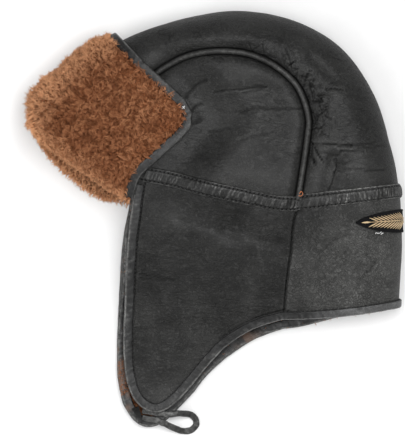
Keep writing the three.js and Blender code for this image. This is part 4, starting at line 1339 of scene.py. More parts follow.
# Cells across and down each panel, finer where it shows, and the top's runs across: end and cells
NEAR_FINE = [(0.4, 120), (0.6, 16), (1.0, 32)]
TOP_CELLS = (168, 360)
NAPE_CELLS = (128, 72)
CROWN_CELLS = {"left": (164, 104), "right": (84, 52)}
EAR_CELLS = {"left": (116, 164), "right": (60, 84)}
top = centre_grid(*TOP_CELLS, 0, ABOVE_BAND, VISIBLE_ROOM, spread(NEAR_FINE))
dress(leather("crown_centre_leather", top, -1, BLACK_HIDE), "leather", "crown_centre_panel")
nape = centre_grid(*NAPE_CELLS, BELOW_BAND, HEM_ROW, NECK_ROOM)
dress(leather("neck_leather", nape, -1, NECK_HIDE, neck_shade), "leather", "neck_panel")
for side, near, sign in SIDES:
    grid = side_grid(near, *CROWN_CELLS[side], -VISIBLE_ROOM)
    crown = leather(f"crown_{side}_leather", grid, sign, BLACK_HIDE)
    dress(crown, "leather", f"crown_side_{side}")
    grid = ear_grid(near, *EAR_CELLS[side], NECK_ROOM)
    ear = leather(f"ear_flap_{side}_leather", grid, sign, FLAP_HIDE, ear_shade)
    dress(ear, "leather", f"ear_flap_{side}")


# Piping cords
CORD_RADIUS = 2.25
CORD_RAISE = 0.35
CORD_SIDES = 14
THREAD_SIDES = 6


def cord_rings(points, ups, radius, around):
    side, up = frames_on(points, ups)
    turn = np.linspace(0, 2 * np.pi, around, endpoint=False)
    section = radius * np.stack([np.cos(turn), np.sin(turn)], -1)
    return rings_of(points, side, up, section)


for side, near, _ in SIDES:
    seam = sample(SECTIONS, np.linspace(0, BAND_ROW - 0.08, 260))[:, 2:4]
    place, up = on_side(seam[:, 0], seam[:, 1], near)
    place = place + up * (CORD_RAISE + 0.12 * noise(place, 7, 11))[:, None]
    rings = cord_rings(place, up, CORD_RADIUS, CORD_SIDES)
    # The cord is painted pale over its top and underside, partly as wear and partly as highlight
    swell = np.abs(np.sin(np.linspace(0, 2 * np.pi, CORD_SIDES, endpoint=False)))[None]
    piping = sweep(f"piping_{side}", rings, CORD_HIDE, {"ridge": 0.6 * swell + 0 * rings[..., 0]})
    dress(piping, "piping", f"welt_{side}")


# Band round the crown
BAND_STEPS = (9, 14, 9)
BAND_TOTAL = 32
BAND_PER_ROW = 31


def band_points(u, v):
    """Points of the band: u from its near end round the back to its far end, v across it."""
    w = mix(-BAND_HALF, BAND_HALF, v)
    step = u * BAND_TOTAL
    back = step - BAND_STEPS[0]
    near_t = np.clip(step / BAND_STEPS[0], 0, 1) * (len(BAND) - 1)
    far_t = np.clip((BAND_TOTAL - step) / BAND_STEPS[2], 0, 1) * (len(BAND) - 1)
    near_xy = beside(BAND, [0, 1], near_t, 0.05, -w)
    far_xy = beside(BAND, [0, 1], far_t, 0.05, -w)
    on_near, _ = on_side(near_xy[..., 0], near_xy[..., 1], True)
    on_far, _ = on_side(far_xy[..., 0], far_xy[..., 1], False)
    behind = across_rib(BAND_ROW + w / BAND_PER_ROW, np.clip(back / BAND_STEPS[1], 0, 1), 0.0)
    out = np.where((back <= 0)[..., None], on_near, behind)
    return np.where((back >= BAND_STEPS[1])[..., None], on_far, out)


def band_raise(u):
    step = np.minimum(u, 1 - u) * BAND_TOTAL
    return (0.4 + smooth(step - 0.5)) * (1 - rise(step, 4, 1.6))


STITCH_PITCH = 3.3
SEAM_OFF = 4.3
RIM_OFF = 5.55
BAND_THICK = 1.55
PALE_BEHIND = (20, 50)
u, v = grid_of(640, 18)
strip = band_points(u, v)
up = normals_of(strip, -1)
run = run_along(strip[len(strip) // 2])[None, :]
w = mix(-BAND_HALF, BAND_HALF, v)
edge = np.abs(w) / BAND_HALF
seam_dip = bell(np.abs(w) - SEAM_OFF, 0.75)
beat = 0.5 + 0.5 * np.cos(2 * np.pi * run / STITCH_PITCH)
puckers = points_of(run / 2.6, w / 9, 0.0)
pucker = noise(puckers, 1, 21) + 0.5 * noise(puckers * 2.1, 1, 22)
lie = BAND_THICK * (1 - edge**8) + 0.15 - seam_dip * (0.45 + 0.3 * beat)
lie = lie + 0.32 * pucker * (1 - 0.7 * edge**6) + 0.25 * (1 - edge**2)
streak = noise(points_of(run / 0.9 + 0.25 * w, w / 5, 0.0), 1, 23) * (1 - rise(edge, 0.5, 0.2))
lie = lie + 0.16 * streak
outer = strip + up * (lie + band_raise(u))[..., None]
u, v = grid_of(160, 2)
inner_strip = band_points(u, v)
inner = inner_strip + normals_of(inner_strip, -1) * (0.15 + band_raise(u))[..., None]
ridge, groove = bends(lie, 5.0)
# The band's rims are painted pale partly as wear and partly as highlight; its puckered streaks are a painted
# highlight
rim_wear_and_highlight = 0.9 * bell(np.abs(w) - RIM_OFF, 0.35)
ridge = np.clip(ridge * 0.5 + rim_wear_and_highlight + smooth(streak * 1.6 - 0.3) * 0.5, 0, 1)
# Painted shade in the stitch dips beside the rims
groove = np.clip(groove * 0.6 + seam_dip * (0.45 + 0.5 * beat), 0, 1)
shade = rise(strip[..., 0], *PALE_BEHIND) - 0.15
looks = {"ridge": ridge, "groove": groove, "shade": shade}
band = plate("crown_band_leather", outer, inner, BAND_HIDE, looks)
dress(band, "leather", "crown_band")


# Bindings
def at_step(values, t):
    """Value at a share t of the way through a list."""
    return np.interp(t * (len(values) - 1), np.arange(len(values)), values)


# Share of the hem on each ear flap, and the rows of the ear flap's edge that it runs over
EAR_SHARE = 0.37
BINDING_ROWS = np.array([0.32, 1, 2, 3, 4, 5, 6, 7, 8, 8.6, 9.4, 10.2, 11, 12, 13, 14.3, 15.6, 17])
# Sections of the folded bindings: millimetres outward and up from the edge
HEM_SECTION = [
    (-5.2, 2.2), (0.4, 2.2), (1.8, 0.4), (1.8, -4.4), (0.4, -6.1), (-5.2, -6.1),
    (-5.2, -4.9), (0.6, -4.9), (0.6, 1.0), (-5.2, 1.0),
]
FLAP_SECTION = [
    (-5.5, -1.7), (0.8, -1.7), (1.8, -0.4), (1.8, 4.8), (0.8, 6.2), (-5.5, 6.2),
    (-5.5, 5.2), (0.8, 5.2), (0.8, -0.7), (-5.5, -0.7),
]

# Runs of the far binding that are worn, in y, with the length over which that fades
WORN_LOW = (-214, -158, 6)
WORN_HIGH = (-106, -86, 3)
# Where the binding turns paler toward the back: from which x, over what length, and by how much
PALER = (35, 40)
PALER_BY = 4.2


def hem_path(steps):
    """Shares, points and outward directions: down the near ear flap, round the neck, up the far one."""
    t = np.linspace(0, 1, steps)
    rows = at_step(BINDING_ROWS, np.clip(np.minimum(t, 1 - t) / EAR_SHARE, 0, 1))
    edges = sample(EAR_EDGE, rows)
    near_points, near_up = on_side(edges[:, 0], edges[:, 1], True)
    far_points, far_up = on_side(edges[:, 2], edges[:, 3], False)
    u = np.clip((t - EAR_SHARE) / (1 - 2 * EAR_SHARE), 0, 1)
    two = np.stack([across_rib(np.full(steps, row), u, 0.0) for row in (HEM_ROW - 0.05, float(HEM_ROW))])
    round_up = normals_of(two, -1)[1]
    points = np.where((t < EAR_SHARE)[:, None], near_points, two[1])
    points = np.where((1 - t < EAR_SHARE)[:, None], far_points, points)
    ups = np.where((t < EAR_SHARE)[:, None], near_up, round_up)
    ups = np.where((1 - t < EAR_SHARE)[:, None], far_up, ups)
    return t, points, ups


def smoothed(values, times):
    """Rows averaged with their neighbours, ends kept."""
    out = values.copy()
    for _ in range(times):
        out[1:-1] = (out[:-2] + 2 * out[1:-1] + out[2:]) / 4
    return out


def over_section(run, section, along, wide, tall):
    """Places for noise over a swept section, in lumps of the given sizes."""
    return points_of(run[:, None] / along, section[None, :, 0] / wide, section[None, :, 1] / tall)


def bound_edge(name, points, side, up, section, seed, shade, suede=None):
    """A folded leather binding: a rounded section with puckers at its stitches and soft dents."""
    section = rounded(section, 4, 0.35)
    run = run_along(points)
    centre = section.mean(0)
    outside = np.abs(section[:, 1] - centre[1]) > 2.6
    at_row = bell(section[:, 0] + 3.1, 0.8) * outside
    beat = 0.5 + 0.5 * np.cos(2 * np.pi * run / STITCH_PITCH)
    index = over_section(run, section, 1.8, 3, 3)
    dents = noise(index, 1, seed) * 0.13 + noise(index * [0.25, 0.5, 0.5], 1, seed + 1) * 0.25
    outer_side = np.arange(len(section)) < len(section) * 0.6
    swell = (dents - at_row * (0.25 + 0.3 * beat[:, None])) * outer_side
    shape = section[None] + unit(section - centre)[None] * swell[..., None]
    ridge, groove = bends(swell, 5.0)
    # The puckers' ridges and the outer fold are painted pale, partly as wear and partly as highlight
    on_fold = bell(section[:, 0] - 1.0, 0.6)[None] * 0.9
    kept_dark = 1 - 0.85 * np.clip(shade / 3, 0, 1)
    rubbed_and_highlight = np.clip(ridge * 0.7 + on_fold * outer_side, 0, 1) * kept_dark[:, None]
    # Painted shade: the dents, the stitch row and the ditch at the inner edge are painted dark
    inner_edge = fall(section[:, 0], -4.3, 0.9)[None] * 0.6
    dark = np.clip(groove * 0.9 + at_row[None] * 0.35 + inner_edge, 0, 1)
    if suede is None:
        suede = np.zeros(len(points))
    patches = smooth(noise(index * [0.3, 0.7, 0.7], 1, seed + 3) * 2.2 + 0.4) * suede[:, None]
    looks = {"ridge": rubbed_and_highlight, "groove": dark * (1 - patches), "suede": patches}
    looks["shade"] = shade[:, None] + 0 * rubbed_and_highlight
    return sweep(name, rings_of(points, side, up, shape), BINDING_HIDE, looks)


t, points, ups = hem_path(640)
ups = smoothed(ups, 6)
along = unit(np.gradient(points, axis=0))
side, _ = frames_on(points, ups)
tilted = t >= 1 - EAR_SHARE + 0.01
side = side + np.outer(tilted * HEM_TILT, [0, 0, 1])
side = unit(side)
up = np.cross(side, along)
worn_low = within(points[:, 1], *WORN_LOW)
worn_high = within(points[:, 1], *WORN_HIGH)
on_far_ear = t > 1 - EAR_SHARE
worn_front = 0.8 * on_far_ear * (points[:, 0] < -70) * np.maximum(worn_low, 0.8 * worn_high)
worn_below = 0.7 * on_far_ear * (points[:, 1] < -140) * bell(points[:, 0] + 5, 8)
paler_behind = PALER_BY * rise(points[:, 0], *PALER)
worn = worn_front + worn_below
hem = bound_edge("hem_binding_leather", points, side, up, HEM_SECTION, 31, paler_behind, worn)
dress(hem, "binding", "hem_binding")
HEM_FRAMES = (points, side, up)


# Turned-up front flap
FLAP_REACH = np.array([[0, 90.5], [0.5, 92], [0.75, 92], [0.87, 88.5], [0.95, 80], [1, 67]])
FLAP_ROWS = 4
FLAP_LEATHER = 1.6
FLAP_ROOM = 2
HINGE_PRESS = 1
BAND_CLEARANCE = 2.7
PILE = 10.6
PILE_AT_EDGE = 2.1
PILE_ROOM = 0.7
FLAP_ACROSS = 300
FLAP_TALL = 100
FLAP_END = 0.25
NEAR_BAND = 45


def flap_points(u, v):
    reach = np.interp(np.clip(v, 0, 1), FLAP_REACH[:, 0], FLAP_REACH[:, 1])
    t = np.abs(1 - 2 * u)
    r = FLAP_ROWS * v
    roll, inset, arc = rib(r, FLAP_FORM)[4:7]
    whole_roll, _, whole_arc = rib(FLAP_ROWS * np.clip(v, 0, 1), FLAP_FORM)[4:7]
    s = np.where(t < 0.5, arc * t * 2, mix(arc, whole_arc + reach - whole_roll, t * 2 - 1))
    return on_rib(r, np.where(u < 0.5, s, -s), FLAP_FORM)


def flap_room(u, v):
    flat = np.maximum(0, np.abs(1 - 2 * u) * 2 - 1)
    n = mix(SECTIONS[0, 4], FLAP_REACH[:, 1].max(), flat)
    hinge = HINGE_PRESS * (1 - smooth(v / 0.2)) * (1 - rise(n, NEAR_BAND, 15))
    over_band = BAND_CLEARANCE * rise(n, NEAR_BAND, 30) * (1 - rise(v, 0.3, 0.5))
    return FLAP_ROOM - hinge + over_band


u, v = grid_of(128, 48)
flap = flap_points(u, v)
flap_up = normals_of(flap, -1)
room = flap_room(u, v)[..., None]
inner = (flap + flap_up * room)[::4, ::4]
flap_skin = plate("front_flap_skin", flap + flap_up * (room + FLAP_LEATHER), inner, BLACK_HIDE)
dress(flap_skin, "leather", "front_flap_leather")

STEP = 0.002
t = np.linspace(0, 1, 460)
end = np.minimum(t, 1 - t) / FLAP_END
u = np.clip((t - FLAP_END) / (1 - 2 * FLAP_END), 0, 1)
v = np.where(end < 1, mix(0.02, 1, np.minimum(end, 1)), 1.0)
dv = flap_points(u, v - STEP) - flap_points(u, v - 2 * STEP)
du = flap_points(np.minimum(u + STEP, 1), v - STEP) - flap_points(np.maximum(u - STEP, 0), v - STEP)
up = smoothed(unit(-np.cross(du, dv)), 6)
points = flap_points(u, v) + up * flap_room(u, v)[:, None]
side, up = frames_on(points, up)
darker = np.full(len(points), -0.5)
flap_edge = bound_edge("front_flap_binding_leather", points, side, up, FLAP_SECTION, 41, darker)
dress(flap_edge, "binding", "front_flap_binding")
FLAP_FRAMES = (points, side, up)


# Pile of the flap. HANG: how the wool hangs lower at the brow fold, as place, reach and rows of the pattern.
# PILE_CUTS: first column of each of the pile's three pieces, and the column after its last.
HANG = [(0.27, 0.16, -0.05), (0.9, 0.06, -0.06), (0.49, 0.11, 0.26), (1.0, 0.055, 0.38), (0.0, 0.04, 0.1)]
PILE_CUTS = [(0, 78), (77, 150), (149, 225)]
WOOL_FROM_EDGE = 5.0
# The side toward which the pile's outline is painted paler, as though lit from behind
BACKLIT_SIDE = np.array([-0.8, 0.55, -0.1])


def pile_base(u, v):
    low = mix(-0.16, -0.64, rise(u, 0.56, 0.3))
    for place, reach, more in HANG:
        low = low + more * bell(u - place, reach)
    fu, fv = mix(0.004, 0.996, u), mix(low / FLAP_ROWS, 0.995, v)
    grid = flap_points(fu, fv)
    return grid, normals_of(grid, -1), flap_room(fu, fv) + FLAP_LEATHER + PILE_ROOM


def pile_height(u, v):
    ends = np.minimum(u, 1 - u) * FLAP_ACROSS
    top = (1 - v) * FLAP_TALL
    inside = np.minimum(ends, top)
    full = 0.5 * rise(inside, WOOL_FROM_EDGE, 1.6) + 0.5 * rise(inside, WOOL_FROM_EDGE, 11)
    round_share = mix(0.45, 1, smooth(v / 0.2))
    return mix(PILE_AT_EDGE, PILE * round_share, full)


def tuft(points):
    return noise(points, 3.3, 51) * 0.5 + noise(points, 1.7, 52) * 0.5


def uphill(points):
    """Where the tufts rise to: the slope of their height, per millimetre."""
    slope = []
    for k in range(3):
        step = np.zeros(3)
        step[k] = 0.4
        slope.append((tuft(points + step) - tuft(points - step)) / 0.8)
    return np.stack(slope, -1)


def combed(points, directions, gather, unrest, seed):
    """Directions of the wool: gathered to the tips of the tufts and stirred a little."""
    stir = np.stack([noise(points + 100 * k, 1.9, seed + k) for k in range(3)], -1)
    return unit(directions + uphill(points) * gather + stir * unrest)


u, v = grid_of(224, 112)
grid, up, lift = pile_base(u, v)
tall = pile_height(u, v)
across = unit(np.gradient(grid, axis=1))
rising = unit(np.gradient(grid, axis=0))
clump = np.clip(tuft(grid) * 2.0, -1, 1)
bed = grid + up * (lift + tall * 0.56 + np.minimum(tall * 0.25, 1.2) * clump)[..., None]
bed[..., 2] = np.maximum(bed[..., 2], 0.1)
floor_side = grid + up * lift[..., None]
floor_side[..., 2] = np.maximum(floor_side[..., 2], 0.1)
low_end = fall(v, 0.14, 0.14)
# The bed's tone is paler at the brow fold's low end: partly the wool's paler tone there, partly painted light
# where the fold lies in shade
tone = {"along": 0.35 + 0.25 * clump + 0.35 * low_end, "tint": 0.5 + 0.4 * noise(grid, 12, 53)}
coarse_tone = {key: values[::2, ::2] for key, values in tone.items()}
fleece = plate("front_flap_wool", bed[::2, ::2], floor_side[::4, ::4], BASE_WOOL, coarse_tone, beneath=0.6)
dress(fleece, "pile", "front_flap_fleece")

near_end = fall(u, 0.05, 0.05)
top_end = rise(v, 0.9, 0.1)
share = np.maximum(tall / PILE, 0.9 * np.maximum(top_end, near_end))
row_steps = np.linalg.norm(np.diff(grid, axis=0), axis=2)
col_steps = np.linalg.norm(np.diff(grid, axis=1), axis=2)
to_top = np.vstack([np.cumsum(row_steps[::-1], axis=0)[::-1], np.zeros((1, grid.shape[1]))])
to_near = np.hstack([np.zeros((grid.shape[0], 1)), np.cumsum(col_steps, axis=1)])
to_far = np.hstack([np.cumsum(col_steps[:, ::-1], axis=1)[:, ::-1], np.zeros((grid.shape[0], 1))])
to_binding = np.minimum(to_top + 0.6, np.minimum(to_near, to_far))
planted = rise(to_binding, 6.1, 0.5)
over_top = 1 - rise(to_top, 5, 8)
over_near = 1 - rise(to_near, 5, 8)
over_far = 1 - rise(to_far, 5, 8)
lean = across * (over_far - over_near)[..., None] * 1.3
lean = lean + rising * (over_top * 1.9 - low_end * 0.9 - 0.12)[..., None]
comb = combed(grid, up + lean, 0.6, 0.55, 60)
# Painted light: the pile is paler on its outline toward the side set above, as though lit from behind, and at
# the brow fold's low end, which lies in shade; the noise and tufts give the wool's own tone
backlit_outline = rise(up @ unit(BACKLIT_SIDE), 0.05, 0.75)
golden_and_painted_light = np.clip(0.06 + 0.18 * clump + 0.1 * noise(grid, 14, 71) + 0.68 * backlit_outline + 0.5 * low_end, 0, 1)
corner = bell(u - 0.47, 0.09) * (1 - rise(v, 0.15, 0.35))
at_binding = 1 - rise(to_binding, 6.5, 4)
stand = (0.35 + 0.65 * share) * (0.9 + 0.18 * clump) * (1 - 0.25 * backlit_outline) + 0.8 * corner + 0.35 * at_binding
# Painted shade between the tufts, less at the binding and on the paler outline
deep = np.clip(-0.05 - 0.8 * clump, 0, 0.7) * (1 - at_binding) * (1 - 0.75 * backlit_outline)
for k, (first, last) in enumerate(PILE_CUTS):
    cut = np.s_[:, first:last]
    wool_piece = plant(
        f"front_flap_pile_{k}", bed[cut], comb[cut], stand[cut],
        planted[cut], golden_and_painted_light[cut], 1.5, 5.4, 7 + k, deep[cut],
    )
    dress(wool_piece, "pile", "front_flap_fleece")

# Fringe of the brow fold: from the inner side of the pile, round its lower edge, to its outer side
FRINGE_ROWS = (15, 12, 9, 6, 3, 0)
FRINGE_LEAN = (-1.6, -1.5, -1.3, -1.1, -0.8, -0.3, 0.1, 0.5)
rows = [floor_side[k] for k in FRINGE_ROWS] + [mix(floor_side[0], bed[0], 0.5), bed[0]]
fringe = np.stack(rows)
direction = np.stack([unit(up[0] * lean_out - rising[0]) for lean_out in FRINGE_LEAN])
fringe_comb = combed(fringe, direction, 0.5, 0.5, 66)
ones = np.ones(fringe.shape[:2])
taller_beyond = 1 + 0.3 * rise(u[:1], 0.55, 0.1)
fringe_tall = ones * (1 - 0.55 * bell(u[:1] - 0.5, 0.09)) * taller_beyond
# The fringe is paler, most on its far part: partly the wool's own golden tone, partly painted light in the
# shade under the pile
fringe_gold_and_painted_light = np.clip(0.65 + 0.2 * noise(fringe, 10, 72) + 0.5 * rise(u[:1], 0.5, 0.1), 0, 1)
edge_wool = plant(
    "front_flap_fringe", fringe, fringe_comb, fringe_tall, ones, fringe_gold_and_painted_light, 1.12, 4.0, 17,
    locks=curl_kinds,
)
dress(edge_wool, "pile", "front_flap_fleece")


# Sheepskin lining: hidden side smooth, open side in low tufts
HIDDEN_ROOM = 1.5
LINING_ROOM = 0.9
CENTRE_LINING = (64, 112)
SIDE_LINING = (72, 40)
NECK_LINING = (64, 32)
EAR_LINING = (64, 80)


def lining(name, grid, sign, depth, cad_node):
    normals = normals_of(grid, sign)
    clump = tuft(grid * 0.8)
    open_side = grid - normals * (depth + 0.75 * clump * (depth > LEATHER + GAP + 2))[..., None]
    hidden = (grid - normals * (LEATHER + GAP + HIDDEN_ROOM * rise(depth, 4, 3))[..., None])[::4, ::4]
    tone = {"along": 0.35 - 0.4 * clump, "tint": 0.5 + 0.4 * noise(grid, 15, 83)}
    piece = plate(name, open_side, hidden, LINING_WOOL, tone)
    dress(piece, "lining", cad_node)
    return open_side, -normals


def hem_depth(edge):
    return LEATHER + GAP + mix(HEM_FLEECE, FLEECE, smooth(edge / 0.22 - 0.25))


def opening_wool(name, cad_node, open_side, direction, tall, density, pale, spacing, length, seed, stir):
    """A lining's wool where it shows at an opening. Its paleness is given by its middle and its spread."""
    comb = combed(open_side, unit(direction), 0.8, 0.5, stir)
    paleness = pale[0] + pale[1] * noise(open_side, 12, stir + 1)
    wool_piece = plant(name, open_side, comb, tall, density, paleness, spacing, length, seed)
    dress(wool_piece, "lining", cad_node)


deep = LEATHER + GAP + FLEECE
grid = centre_grid(*CENTRE_LINING, 0, ABOVE_BAND, LINING_INSET)
open_side, into = lining("centre_sheepskin", grid, -1, np.full(grid.shape[:2], deep), "fleece_centre")
u, v = grid_of(*CENTRE_LINING)
direction = into - unit(np.gradient(open_side, axis=0)) * fall(v, 0.05, 0.05)[..., None] * 0.9
opening_wool(
    "brow_wool", "fleece_centre", open_side, direction, 0.7 + 0 * v, fall(v, 0.07, 0.03),
    (0.12, 0.15), 2.3, 5.0, 37, 94,
)
u, v = grid_of(*NECK_LINING)
grid = centre_grid(*NECK_LINING, BELOW_BAND, HEM_ROW, LINING_ROOM)
NECK_OPEN = lining("neck_sheepskin", grid, -1, hem_depth((1 - v) * 0.5), "fleece_neck")
EAR_OPEN = {}
for side, near, sign in SIDES:
    grid = side_grid(near, *SIDE_LINING, -LINING_INSET)
    lining(f"crown_{side}_sheepskin", grid, sign, np.full(grid.shape[:2], deep), f"fleece_side_{side}")
    u, v = grid_of(*EAR_LINING)
    grid = ear_grid(near, *EAR_LINING, LINING_ROOM, 0.8)
    depth = hem_depth(np.minimum(1 - v, u * 0.85))
    EAR_OPEN[side] = lining(f"ear_{side}_sheepskin", grid, sign, depth, f"fleece_ear_{side}")

# Wool that shows at the openings: along the hems of the ear flaps and the neck
for side, (open_side, into) in EAR_OPEN.items():
    toward_front = -unit(np.gradient(open_side, axis=1))
    toward_hem = unit(np.gradient(open_side, axis=0))
    u, v = grid_of(*EAR_LINING)
    at_front = fall(u, 0.3, 0.3)
    at_hem = rise(v, 0.7, 0.3)
    direction = into + toward_front * at_front[..., None] * 0.9 + toward_hem * at_hem[..., None] * 0.9
    density = np.clip(fall(u, 0.22, 0.06) + rise(v, 0.76, 0.06), 0, 1)
    tall = 0.45 + 0.4 * np.clip(np.minimum(u * 4, (1 - v) * 4), 0, 1)
    opening_wool(
        f"ear_{side}_wool", f"fleece_ear_{side}", open_side, direction, tall, density,
        (0.15, 0.2), 2.5, 5.4, 23, 90,
    )
open_side, into = NECK_OPEN
u, v = grid_of(*NECK_LINING)
direction = into + unit(np.gradient(open_side, axis=0)) * rise(v, 0.4, 0.6)[..., None] * 0.8
tall = 0.45 + 0.4 * np.clip((1 - v) * 2, 0, 1)
opening_wool(
    "neck_wool", "fleece_neck", open_side, direction, tall, rise(v, 0.35, 0.2),
    (0.15, 0.2), 2.7, 5.4, 29, 92,
)


# Badge of the neck: a pointed oval of felt with two sprays of gold-thread leaves
BADGE_ROW = 15
BADGE_HALF = 8.6
BADGE_POINT = 0.7
BADGE_PER_ROW = 22.8
BADGE_ENDS = 11
BADGE_ROLL_SHARE = 0.8
FELT_TOP = 1.35
FELT_BED = 0.35
LEAF_TOP = 1.45
LEAF_BED = 1.1
FELT = hide(
    "badge_felt", (0.005, 0.005, 0.0055), (0.014, 0.014, 0.015), (0.03, 0.03, 0.03),
    gloss=(0.9, 0.95), bump=0.5, specular=0.1, coat=0.0,
)


def badge_points(u, v):
    t = 1 - 2 * np.asarray(u, float)
    half = BADGE_POINT + BADGE_HALF * (1 - t**4)
    r = BADGE_ROW + mix(-half, half, v) / BADGE_PER_ROW
    arc = rib(r, FORM)[6]
    share = np.abs(t) / BADGE_ROLL_SHARE
    end = (share - 1) / (1 / BADGE_ROLL_SHARE - 1)
    s = np.where(share < 1, arc * share, arc + BADGE_ENDS * end)
    return on_rib(r, np.where(t > 0, s, -s))


def badge_place(length, width):
    """Points and outward directions at millimetres along the badge from its middle, and across it."""
    row = np.full_like(length, float(BADGE_ROW)) + width / BADGE_PER_ROW
    step = 0.25
    du = on_rib(row, length + step) - on_rib(row, length - step)
    dv = on_rib(row + step / BADGE_PER_ROW, length) - on_rib(row - step / BADGE_PER_ROW, length)
    return on_rib(row, length), unit(np.cross(du, dv))


u, v = grid_of(120, 16)
badge = badge_points(u, v)
badge_up = normals_of(badge, -1)
t = 1 - 2 * u
half = BADGE_POINT + BADGE_HALF * (1 - t**4)
rim_mm = np.minimum(np.minimum(v, 1 - v) * 2 * half, (1 - np.abs(t)) * 60)
hump = 0.55 * bell(rim_mm - 0.7, 0.55) + 0.1 * noise(badge, 2, 95)
felt_out = badge + badge_up * (FELT_TOP + hump * (rim_mm > 0.01))[..., None]
felt_in = (badge + badge_up * FELT_BED)[::4, ::4]
badge_piece = plate("badge_felt_patch", felt_out, felt_in, FELT)
dress(badge_piece, "embroidery", "back_patch")


def embroidered_leaf(start, tip, widest, lift):
    """Outer and inner grid of a raised slim leaf. Its places are millimetres along and across the badge."""
    stations = np.linspace(0, 1, 9)
    line = np.outer(1 - stations, start) + np.outer(stations, tip)
    way = np.subtract(tip, start) / np.hypot(*np.subtract(tip, start))
    square = np.array([-way[1], way[0]])
    width = widest * np.sin(np.pi * np.clip(stations, 0.04, 0.97)) ** 0.7
    offsets = np.linspace(-1, 1, 5)
    flat = line[:, None] + square * (width[:, None] * offsets[None, :])[..., None]
    place, out = badge_place(flat[..., 0], flat[..., 1])
    swell = np.sin(np.pi * np.clip(stations, 0.08, 0.95))[:, None] ** 0.5
    crown = lift * (1 - offsets[None, :] ** 2) * swell
    top = place + out * (LEAF_TOP + crown)[..., None]
    return top, place[::4, ::4] + out[::4, ::4] * LEAF_BED


# Leaves of each spray, in millimetres along the badge from its middle and across it
LEAF_PAIRS = 11
FIRST_PAIR = 2.6
PAIR_PITCH = 3.5
LEAF_LONG = 12.5
LEAF_ASIDE = 6.9
HEART_LEAVES = 8
leaf_points, leaf_blocks = [], []


def add_leaf(start, tip, widest, lift):
    points, blocks = skin(*embroidered_leaf(start, tip, widest, lift))
    before = sum(len(part) for part in leaf_points)
    leaf_points.append(points)
    leaf_blocks.extend(block + before for block in blocks)


for end in (1, -1):
    for k in range(LEAF_PAIRS):
        along_mm = FIRST_PAIR + k * PAIR_PITCH
        size = 1 - 0.045 * k
        for flank in (1, -1):
            tip = (end * (along_mm + LEAF_LONG * size), flank * LEAF_ASIDE * size)
            add_leaf((end * along_mm, flank * 0.4), tip, 0.5, 0.45)
    add_leaf((end * 2.5, 0.0), (end * 46.0, 0.0), 0.45, 0.35)
    add_leaf((end * 43.0, 0.0), (end * 50.0, 0.0), 0.8, 0.4)
for k in range(HEART_LEAVES):
    a = 2 * np.pi * k / HEART_LEAVES
    add_leaf((0.4 * np.cos(a), 0.4 * np.sin(a)), (2.6 * np.cos(a), 2.6 * np.sin(a)), 0.7, 0.5)
leaves = make_mesh("badge_leaves", np.vstack(leaf_points), leaf_blocks, GOLD_THREAD)
dress(leaves, "embroidery", "back_patch")


# Thong loop
# THONG: middle line of the strip. GATHER: ends of its sewn-down part. Both are x, y and z.
THONG = np.array([
    [-88, -211.3, 11.5], [-78, -213.2, 11.5], [-68, -214.5, 11.4], [-58.5, -213.8, 10.0],
    [-50.5, -214.8, 3.4], [-46.5, -218.5, 1.3], [-46, -223, 1.3], [-50, -227, 1.3],
    [-56, -227.8, 1.8], [-63, -225.5, 6.0], [-70, -222, 11.4], [-78, -219, 11.5], [-88, -217, 11.5],
])
GATHER = np.array([[-93.5, -209.0, 12.4], [-88.6, -220.5, 11.2]])
GATHER_STEPS = 60


def oblong(half, low, high, per_corner, share):
    """A rounded section of a strip."""
    return rounded([(-half, low), (half, low), (half, high), (-half, high)], per_corner, share)


def upward(lane):
    return np.tile([0.0, 0.0, 1.0], (len(lane), 1))


lane = sample(THONG, np.linspace(0, len(THONG) - 1, 260))
side, up = frames_on(lane, upward(lane))
strip = oblong(2.45, -1.2, 1.2, 4, 0.4)
rough = noise(over_section(np.arange(len(lane)), strip, 6, 1.4, 1), 1, 97)
shape = strip[None] + unit(strip)[None] * (0.22 * rough)[..., None]
# The strip's bumps and edges are painted pale, partly as wear and partly as highlight; its dents are painted
# dark as shade
edge_wear_and_highlight = bell(np.abs(strip[None, :, 0]) - 1.9, 0.5)
looks = {"ridge": np.clip(rough * 0.25 + edge_wear_and_highlight * 0.8, 0, 1), "groove": np.clip(-rough * 0.3, 0, 1)}
thong = sweep("thong_strip", rings_of(lane, side, up, shape), THONG_HIDE, looks)
dress(thong, "leather", "thong_loop")

# Gathered end of the thong, sewn down on the tip of the far ear flap
lane = np.linspace(GATHER[0], GATHER[1], GATHER_STEPS)
side, up = frames_on(lane, upward(lane))
strip = oblong(3.0, -1.3, 1.3, 8, 0.5)
folds = noise(over_section(np.arange(GATHER_STEPS), strip, 26, 0.9, 3), 1, 98)
narrow = 1 - 0.3 * np.sin(np.linspace(0, np.pi, GATHER_STEPS))[:, None, None]
shape = strip[None] * narrow + unit(strip)[None] * (0.5 * folds)[..., None]
# The gathered folds are painted pale on their tops as wear and highlight, and dark in their hollows as shade
looks = {"ridge": smooth(folds * 1.5), "groove": smooth(-folds * 1.5)}
gather = sweep("thong_gather", rings_of(lane, side, up, shape), THONG_HIDE, looks)
dress(gather, "leather", "thong_loop")


# Stitches
line_u = np.linspace(0.004, 0.996, 900)
for k, w in enumerate((-SEAM_OFF, SEAM_OFF)):
    share_v = 0.5 + w / (2 * BAND_HALF)
    three = np.stack([band_points(line_u, np.full(len(line_u), share_v + d)) for d in (-0.03, 0, 0.03)])
    out = normals_of(three, -1)[1]
    points = three[1] + out * (1.3 + band_raise(line_u))[:, None]
    dress(sew(f"band_stitches_{k}", points, smoothed(out, 2), STITCH_PITCH, 0.9), "leather")
